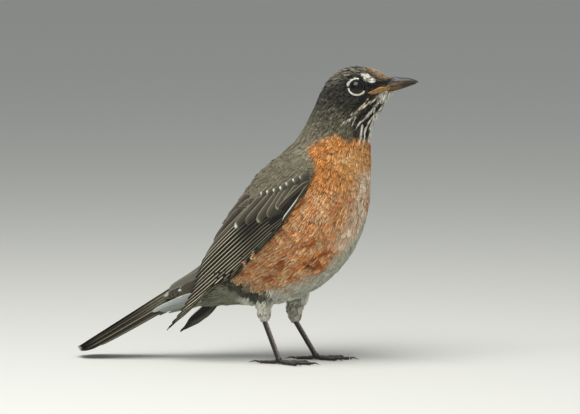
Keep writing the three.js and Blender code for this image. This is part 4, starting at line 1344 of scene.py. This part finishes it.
# %% Lay the twelve tail feathers
vanes = Vanes(12)
for pair in reversed(range(6)):
    for hand in (-1, 1):
        outer_part = 0.5 - NARROWER_BY_PAIR * pair
        columns = across_columns(TAIL_WIDE * outer_part, TAIL_WIDE * (1 - outer_part))
        profile = (vane_outline(ROWS, 0.93) * (1 - NARROWING * to_root))[:, None]
        grid, across = tail_grid(pair, hand, columns, profile)
        tint = tail_tint(pair, columns / columns[0], across.shape)
        ups = np.tile(tail_up, across.shape + (1,))
        along = np.repeat((ROWS * TAIL_LONG)[:, None], len(columns), 1)
        vanes.add(grid, ups, across, along, tint, ridge=0.16)
tail = vanes.finish("tail_feathers")

# %% Coverts over the tail's root
vanes = Vanes(len(TAIL_COVERTS) * 2)
for entry in TAIL_COVERTS:
    for side in ("right", "left"):
        lay_quill(vanes, side, entry, on_rump=True)
quill_things["tail_coverts"] = vanes.finish("tail_coverts")
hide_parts("tail")
quill_things["tail_feathers"] = tail

# %% [markdown]
# ## Bill
#
# The bill is horn over bone: slate on the ridge, golden brown along the cutting edges and at the base
# below, with a dark tip and a fleshy yellow corner at the gape. The copies of the frame's two halves
# are remeshed fine and smoothed, the nostril is pressed in, and the colours are stored on the points.

# %% Smooth copies
def smooth_copy(names, title, voxel, rounds, swell_by=0.03):
    """A smooth piece that stands for the named CAD parts."""
    thing = one_surface(names, swell_by, voxel, rounds)
    thing.name = title
    choose(thing)
    bpy.ops.object.shade_smooth()
    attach(thing, "root")
    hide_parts(*names)
    print(title, "points:", len(thing.data.vertices))
    return thing

# %% Colours of the bill
SLATE = linear("#33363a")
HORN = linear("#6f4f26")
HORN_DARK = linear("#1f1710")
GAPE_SKIN = linear("#9a7038")
# Where the mouth closes and where the dark lores meet the bill, on the side chart.
MOUTH = [(44.1, 155.2), (51.0, 157.0), (55.1, 158.1), (60.9, 159.9), (66.7, 161.3), (73.1, 162.8)]
LORES_EDGE = [(48.7, 159.8), (55.1, 161.4), (60.3, 162.5)]
NOSTRIL, NOSTRIL_LONG, NOSTRIL_HIGH = (59.2, 163.4), 1.3, 0.5
CLOSED_BY = 0.4  # the lower half closes up against the upper one by this much


def bill_colours(bird, nostril, is_lower):
    """Colours at points of the bill: golden horn, slate above and dark towards the tip and the edges."""
    across, up = chart(bird)
    above = up - level_of(MOUTH, across)
    colour = np.tile(HORN, (len(bird), 1))
    colour = paint(colour, SLATE, smooth_step(0.6, 2.4, above + 0.4 * wander(bird, 3, 21)))
    cutting_edge = smooth_step(0.9, 0.0, abs(above)) * smooth_step(48.7, 55.1, across)
    colour = paint(colour, HORN_DARK, 0.75 * cutting_edge)
    colour = paint(colour, HORN_DARK, 0.92 * smooth_step(60.9, 65.5, across + 1.2 * wander(bird, 2.5, 22)))
    stained = smooth_step(0.4, 1.0, wander(bird, 2.2, 23)) * smooth_step(52.2, 59.2, across)
    colour = paint(colour, HORN_DARK, 0.6 * stained)
    if is_lower:
        colour = colour * 0.6
    colour = paint(colour, GAPE_SKIN, smooth_step(52.2, 47.0, across) * smooth_step(2.2, 0.8, abs(above)))
    colour = paint(colour, BLACK, smooth_step(0.6, 0.25, from_line(across, up, LORES_EDGE)))
    # Painted shade: the pressed-in opening of the nostril is painted black.
    return colour if is_lower else paint(colour, BLACK, nostril)

# %% Press in the nostril and colour both halves
bill_things = []
for name in ("bill_upper", "bill_lower"):
    is_lower = name == "bill_lower"
    thing = smooth_copy([name], name + "_horn", 0.3, 3, 0.28)
    points = coordinates(thing)
    if is_lower:
        points[:, 2] += CLOSED_BY * smooth_step(52.2, 62.6, chart(to_bird(points))[0]) * MM
    bird = to_bird(points)
    across, up = chart(bird)
    off_nostril = ((across - NOSTRIL[0]) / NOSTRIL_LONG) ** 2 + ((up - NOSTRIL[1]) / NOSTRIL_HIGH) ** 2
    nostril = np.exp(-off_nostril) * (abs(bird[:, 1]) > 0.6)
    if not is_lower:
        points = points - point_normals(thing) * (nostril * 0.5 * MM)[:, None]
    move_points(thing, points)
    set_tint(thing, bill_colours(bird, nostril, is_lower))
    bill_things.append(thing)

# %% [markdown]
# ## Eyes
#
# A robin's eye is nearly black: a dark brown iris round a black pupil under a clear, wet cornea. A thin
# dark lid rims it, and outside the lid stand two crescents of tiny white feathers, the broken eye-ring.

# %% Eyeballs and lids
IRIS = linear("#0d0805")
LID_WIDE, LID_HIGH, LID_THICK = 3.85, 3.5, 0.3  # half the opening and half the lid's thickness


def settle(thing, tint):
    """Applies a piece's place, smooths its shading, gives it one colour and lets it ride."""
    bpy.ops.object.transform_apply(location=True, rotation=True, scale=True)
    bpy.ops.object.shade_smooth()
    set_tint(thing, tint if np.ndim(tint) == 2 else np.tile(tint, (len(thing.data.vertices), 1)))
    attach(thing, "root")
    return thing


eye_things, lid_things, eye_axes = [], [], []
for name, hand in (("eye_right", -1), ("eye_left", 1)):
    corners = [Vector(corner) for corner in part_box(name)]
    middle, radius = (corners[0] + corners[1]) / 2, (corners[1].x - corners[0].x) / 2
    around = np.linalg.norm(outline_points - np.array(middle), axis=1) < 9 * MM
    look = Vector(outline_normals[around].mean(0)).normalized()
    upward = (Vector((0, 0, 1)) - look * look.z).normalized()
    forward = upward.cross(look) * -hand
    forward = forward if forward.x > 0 else -forward
    eye_axes.append((np.array(middle), np.array(look), np.array(forward), np.array(upward)))
    turn = Matrix((forward, look.cross(forward), look)).transposed().to_euler()
    deselect()
    bpy.ops.mesh.primitive_uv_sphere_add(
        segments=48, ring_count=24, radius=radius, location=middle, rotation=turn)
    eye = bpy.context.object
    eye.name = name + "_ball"
    bpy.ops.object.transform_apply(location=True, rotation=True, scale=True)
    rel = coordinates(eye) - np.array(middle)
    off_axis = np.degrees(np.arccos(np.clip(rel @ np.array(look) / radius, -1, 1)))
    pupil = np.tile(BLACK * 0.5, (len(rel), 1))
    eye_things.append(settle(eye, paint(pupil, IRIS, smooth_step(24, 30, off_axis))))
    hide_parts(name)
    deselect()
    level = math.sqrt(radius ** 2 - (LID_WIDE * MM) ** 2)
    bpy.ops.mesh.primitive_torus_add(
        major_radius=LID_WIDE * MM, minor_radius=LID_THICK * MM, major_segments=56, minor_segments=10,
        location=middle + look * level, rotation=turn)
    lid = bpy.context.object
    lid.name = name + "_lid"
    lid.scale = (1, LID_HIGH / LID_WIDE, 1.6)
    lid_things.append(settle(lid, BLACK))
print("eye radius, mm:", round(radius / MM, 2))

# %% The broken white eye-ring
RING = [
    # degrees round from the front by way of the brow: start, end, then how far out each row of tufts is
    (74, 160, 4.5), (82, 166, 5.1), (94, 160, 5.75), (200, 332, 4.35), (214, 326, 4.85), (290, 328, 5.3),
]
RING_BLADES = np.linspace(-0.8, 0.8, 4)
TUFT_LONG, TUFT_HALF, TUFT_RISE = 1.1, 0.48, 0.6  # millimetres
ring_roots, ring_ways, ring_tints = [], [], []
for middle, look, forward, upward in eye_axes:
    for start, end, distance in RING:
        for angle in np.radians(np.linspace(start, end, int((end - start) * 0.42))):
            squeeze = math.hypot(math.cos(angle), LID_HIGH / LID_WIDE * math.sin(angle))
            way = forward * math.cos(angle) + upward * math.sin(angle)
            spot = middle + (way * (distance * squeeze + rng.uniform(-0.1, 0.1)) + look * 2.6) * MM
            ring_roots.append(spot)
            sideways = upward * math.cos(angle) - forward * math.sin(angle)
            sideways = -sideways if sideways @ forward > 0 else sideways
            ring_ways.append(way * 0.7 + sideways * 0.8)
            ring_tints.append(WHITE + (CREAM - WHITE) * smooth_step(285, 330, np.degrees(angle)))
ring_roots, ring_ways = np.array(ring_roots), np.array(ring_ways)
count = len(ring_roots)

# The coat is laid, so the names of most of its arrays are used again for the ring's tufts.
paths, ways, ups = walk(ring_roots, np.full(count, TUFT_LONG), np.zeros(count), combed=ring_ways)
own = np.array(ring_tints)
edge, halves, shade, fringed = own, np.full(count, TUFT_HALF), rng.uniform(0.85, 1.05, count), np.zeros(count)
rises, low_breast = np.full(count, TUFT_RISE), np.zeros(count)
root_map = flat_map[loop_starts[[outline.find_nearest(Vector(p))[2] for p in ring_roots]]]
coats["eye_ring"] = make_feathers("eye_ring", *fans(np.arange(count), RING_BLADES, fluff=0.05))

# %% [markdown]
# The gape is a strip of the skin's own shape: a copy keeps only the faces near it, which are made finer
# and raised inside the strip's outline, and sunk below the skin outside it, so its lip is round.

# %% Helpers for the gape
def keep_faces(thing, chosen):
    """Deletes the faces of an object that aren't chosen."""
    edit(thing, bpy.ops.mesh.select_all, action="DESELECT")
    thing.data.polygons.foreach_set("select", ~chosen)
    edit(thing, bpy.ops.mesh.delete, everything=False, type="FACE")


def inside_gape(points):
    """How far inside the gape's outline points are, and their height over its middle line."""
    across, up = chart(to_bird(points))
    level, half = gape_at(across)
    return half - abs(up - level) - 3 * np.clip(GAPE[0][0] - across, 0, 1), up - level


def face_centres(thing):
    return np.array([face.center for face in thing.data.polygons])


GAPE_SUNK, GAPE_RAISED, GAPE_THICK = -0.55, 1.35, 0.3  # its rim, its middle above the rim, its wall
FOLDS = [(0.35, 0.85), (-0.45, 0.55), (1.0, 0.5), (-1.1, 0.45)]  # height of each dark fold, and its strength

# %% Raise the gape from a strip of the skin
gape = bpy.data.objects.new("gape", skin.data.copy())
bpy.context.scene.collection.objects.link(gape)
keep_faces(gape, on_gape(to_bird(face_centres(gape)), 2.2))
finer = gape.modifiers.new("finer", "SUBSURF")
finer.levels = finer.render_levels = 2
apply_all(gape)
keep_faces(gape, inside_gape(face_centres(gape))[0] >= -0.35)
points = coordinates(gape)
lift = GAPE_SUNK + GAPE_RAISED * smooth_step(-0.7, 0.5, inside_gape(points)[0])
move_points(gape, points + point_normals(gape) * (lift * MM)[:, None])
thick = gape.modifiers.new("thick", "SOLIDIFY")
thick.thickness = GAPE_THICK * MM
thick.offset = -1
apply_all(gape)
bird = to_bird(coordinates(gape))
inward, off_line = inside_gape(coordinates(gape))
colour = np.tile(GAPE_SKIN, (len(bird), 1))
colour = paint(colour, HORN, 0.6 * smooth_step(0.0, 1.0, wander(bird, 3, 41)))
colour = paint(colour, BLACK, smooth_step(0.05, -0.2, inward))
for level, strength in FOLDS:
    wavy = off_line - level + 0.15 * wander(bird, 2.5, 42)
    colour = paint(colour, HORN_DARK, strength * smooth_step(0.28, 0.08, abs(wavy)))
gape.data.color_attributes.remove(gape.data.color_attributes["tint"])
set_tint(gape, colour)
choose(gape)
bpy.ops.object.shade_smooth()
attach(gape, "root")
bill_things.append(gape)
print("gape points:", len(bird))

# %% [markdown]
# ## Legs and claws
#
# The shank and toes are bare and scaled: broad plates down the front of the shank and across the top of
# each toe, each overlapping the next, and soft pads below. The fronts of the shanks and the tops of the
# toes carry a painted highlight. The claws are dark, curved and smooth.

# %% Legs with their plates
LEG_DARK = linear("#1c150f")
LEG_PAINTED_HIGHLIGHT = linear("#857b78")
LEG_SEAM = linear("#1d1611")
TOE_NAMES = ("hallux", "inner_toe", "middle_toe", "outer_toe")
PLATE_ON_SHANK, PLATE_ON_TOE, PLATE_STEP = 2.3, 1.7, 0.16  # millimetres: each plate's length, and its lip
CLAW = linear("#1f1914")
leg_things, claw_things = [], []
for side in ("right", "left"):
    leg = smooth_copy(["shank_" + side] + [f"{toe}_{side}" for toe in TOE_NAMES], "leg_" + side, 0.28, 3)
    points = coordinates(leg)
    bird = to_bird(points)
    normals = point_normals(leg)
    low, high = (to_bird([corner])[0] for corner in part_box("shank_" + side))
    foot = np.array([high[0] - 2.0, (low[1] + high[1]) / 2])  # the toes spread from here
    on_shank = smooth_step(3.0, 4.5, bird[:, 2])
    plate_up = (bird[:, 2] / PLATE_ON_SHANK) % 1
    plate_out = (np.linalg.norm(bird[:, :2] - foot, axis=1) / PLATE_ON_TOE) % 1
    step = on_shank * plate_up * smooth_step(-0.2, 0.5, normals[:, 0])
    step += (1 - on_shank) * plate_out * smooth_step(0.0, 0.5, normals[:, 2])
    points = points + normals * ((step - 0.4) * PLATE_STEP * MM)[:, None]
    points[:, 2] = points[:, 2].clip(0.00002)  # nothing is pressed into the ground
    move_points(leg, points)
    shank_seam = smooth_step(0.22, 0.05, plate_up) * smooth_step(-0.1, 0.5, normals[:, 0])
    toe_seam = smooth_step(0.22, 0.05, plate_out) * smooth_step(0.1, 0.5, normals[:, 2])
    # Painted highlight: the front of each shank and the tops of the toes, the sides that face the lights, are
    # painted lighter.
    light = 0.9 * smooth_step(0.1, 0.6, normals[:, 0]) * on_shank
    light += 0.3 * smooth_step(0.3, 0.9, normals[:, 2]) * (1 - on_shank)
    colour = np.tile(LEG_DARK, (len(points), 1)) * (1 + 0.25 * wander(bird, 3, 31)[:, None])
    colour = paint(colour, LEG_PAINTED_HIGHLIGHT, light)
    colour = paint(colour, LEG_SEAM, 0.7 * np.where(on_shank > 0.5, shank_seam, toe_seam))
    set_tint(leg, colour.clip(0, 1))
    leg_things.append(leg)
    claws = smooth_copy([f"{toe}_claw_{side}" for toe in TOE_NAMES], "claws_" + side, 0.16, 2)
    set_tint(claws, np.tile(CLAW, (len(claws.data.vertices), 1)))
    claw_things.append(claws)

# %% [markdown]
# ## Finishes
#
# Every finish is one principled shader with its pattern worked out in millimetres. A small function adds
# a node with its settings and its links, so that each finish reads as a short list.

# %% Helpers for finishes
def add(tree, kind, values={}, links={}, **options):
    """Adds a node with its options, its input values and its links."""
    node = tree.nodes.new(kind)
    for key, value in options.items():
        setattr(node, key, value)
    for key, value in values.items():
        node.inputs[key].default_value = value
    for key, socket in links.items():
        tree.links.new(socket, node.inputs[key])
    return node


def finish_called(name, values={}):
    """A new finish: the material, its tree and its principled shader."""
    material = bpy.data.materials.new(name)
    material.use_nodes = True
    shader = material.node_tree.nodes["Principled BSDF"]
    for key, value in values.items():
        shader.inputs[key].default_value = value
    return material, material.node_tree, shader


def dress(things, material):
    for thing in things:
        thing.data.materials.clear()
        thing.data.materials.append(material)


def tinted(tree, shader, strength_socket=None):
    """The stored tint as the base colour, made lighter and darker by a pattern if one is given."""
    colour = add(tree, "ShaderNodeAttribute", attribute_name="tint").outputs["Color"]
    if strength_socket is not None:
        links = {0: colour, "Scale": strength_socket}
        colour = add(tree, "ShaderNodeVectorMath", {}, links, operation="SCALE").outputs["Vector"]
    tree.links.new(colour, shader.inputs["Base Color"])


def varied(tree, height_socket, low, high):
    """A pattern's middle values stretched to run from low to high."""
    ends = {"From Min": 0.3, "From Max": 0.7, "To Min": low, "To Max": high}
    return add(tree, "ShaderNodeMapRange", ends, {"Value": height_socket}).outputs["Result"]


def grained(name, values, grains_per_mm, detail, low, high):
    """A finish whose tint is mottled by a fine grain of a given size, from low to high."""
    material, tree, shader = finish_called(name, values)
    where = add(tree, "ShaderNodeTexCoord").outputs["Object"]
    noise = {"Scale": grains_per_mm / MM, "Detail": detail}
    grain = add(tree, "ShaderNodeTexNoise", noise, {"Vector": where})
    tinted(tree, shader, varied(tree, grain.outputs["Fac"], low, high))
    return material

# %% Body feather: soft keratin barbs, dull, with a faint sheen at the fringes
soft_barbs = {"Roughness": 0.62, "Specular IOR Level": 0.25, "Sheen Weight": 0.1, "Sheen Roughness": 0.4}
dress([skin, *coats.values()], grained("body_feather", soft_barbs, 1.4, 2, 0.82, 1.18))

# %% Quill: firm barbs hooked together, drawn as slanting hairlines
quill, tree, shader = finish_called("quill_feather", {"Roughness": 0.5, "Specular IOR Level": 0.22})
barb_map = add(tree, "ShaderNodeUVMap", uv_map="Barb").outputs["UV"]
stretch = add(tree, "ShaderNodeVectorMath", {1: (3.5, 0.12, 1)}, {0: barb_map}, operation="MULTIPLY")
hairs = add(tree, "ShaderNodeTexNoise", {"Scale": 1, "Detail": 2}, {"Vector": stretch.outputs["Vector"]})
tinted(tree, shader, varied(tree, hairs.outputs["Fac"], 0.7, 1.3))
bump = add(tree, "ShaderNodeBump", {"Strength": 0.3, "Distance": 0.00005}, {"Height": hairs.outputs["Fac"]})
tree.links.new(bump.outputs["Normal"], shader.inputs["Normal"])
dress(quill_things.values(), quill)

# %% Bill horn: worn keratin, half dull, with fine growth lines
dress(bill_things, grained("bill_horn", {"Roughness": 0.38, "Specular IOR Level": 0.5}, 0.9, 3, 0.8, 1.2))

# %% Eye: a wet, clear cornea over a near-black iris, and a dull lid
cornea, tree, shader = finish_called("wet_eye", {"Roughness": 0.05, "Specular IOR Level": 0.3})
tinted(tree, shader)
dress(eye_things, cornea)
lid_skin, tree, shader = finish_called("lid_skin", {"Roughness": 0.55})
tinted(tree, shader)
dress(lid_things, lid_skin)

# %% Leg scales and claws: hard keratin plates, a little glossy
scale_gloss = {"Roughness": 0.42, "Specular IOR Level": 0.45}
dress(leg_things, grained("leg_scales", scale_gloss, 1.2, 2, 0.75, 1.25))
claw_horn, tree, shader = finish_called("claw_horn", {"Roughness": 0.3})
tinted(tree, shader)
dress(claw_things, claw_horn)
print("finish of the quills and of the claws:", quill.name, claw_horn.name)

# %% [markdown]
# ## Light and floor
#
# A broad light from above stands for an overcast sky and a fainter, warmer one for a window in front.
# A pale world fills the shadows. The floor is plain and pale, and is no part of the bird.

# %% Stage
def soft_light(name, spot, toward, size, watts, colour):
    """A square area light at one point of the bird's frame, turned to another."""
    deselect()
    bpy.ops.object.light_add(type="AREA", location=place(*spot))
    light = bpy.context.object
    light.name = name
    light.data.size = size
    light.data.energy = watts
    light.data.color = linear(colour)
    light.rotation_euler = (place(*toward) - place(*spot)).to_track_quat("-Z", "Y").to_euler()


soft_light("sky", (-150, -500, 1100), (0, 0, 90), 0.9, 17, "#ffffff")
soft_light("window", (500, -900, 350), (0, 0, 90), 2.2, 6, "#fff8ee")
deselect()
bpy.ops.mesh.primitive_plane_add(size=60, location=(0, 0, -0.0002))
floor = bpy.context.object
floor.name = "floor"
FLOOR, SKY = (*linear("#d2d2cb"), 1), (*linear("#e3e7ea"), 1)
floor_finish, tree, shader = finish_called("pale_floor", {"Base Color": FLOOR, "Roughness": 0.9})
dress([floor], floor_finish)
bpy.context.scene.view_settings.view_transform = "Standard"
world = bpy.data.worlds.new("studio")
bpy.context.scene.world = world
world.use_nodes = True
sky = world.node_tree.nodes["Background"]
sky.inputs["Color"].default_value = SKY
sky.inputs["Strength"].default_value = 0.45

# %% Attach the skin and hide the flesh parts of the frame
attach(skin, "root")
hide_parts(*FLESH)
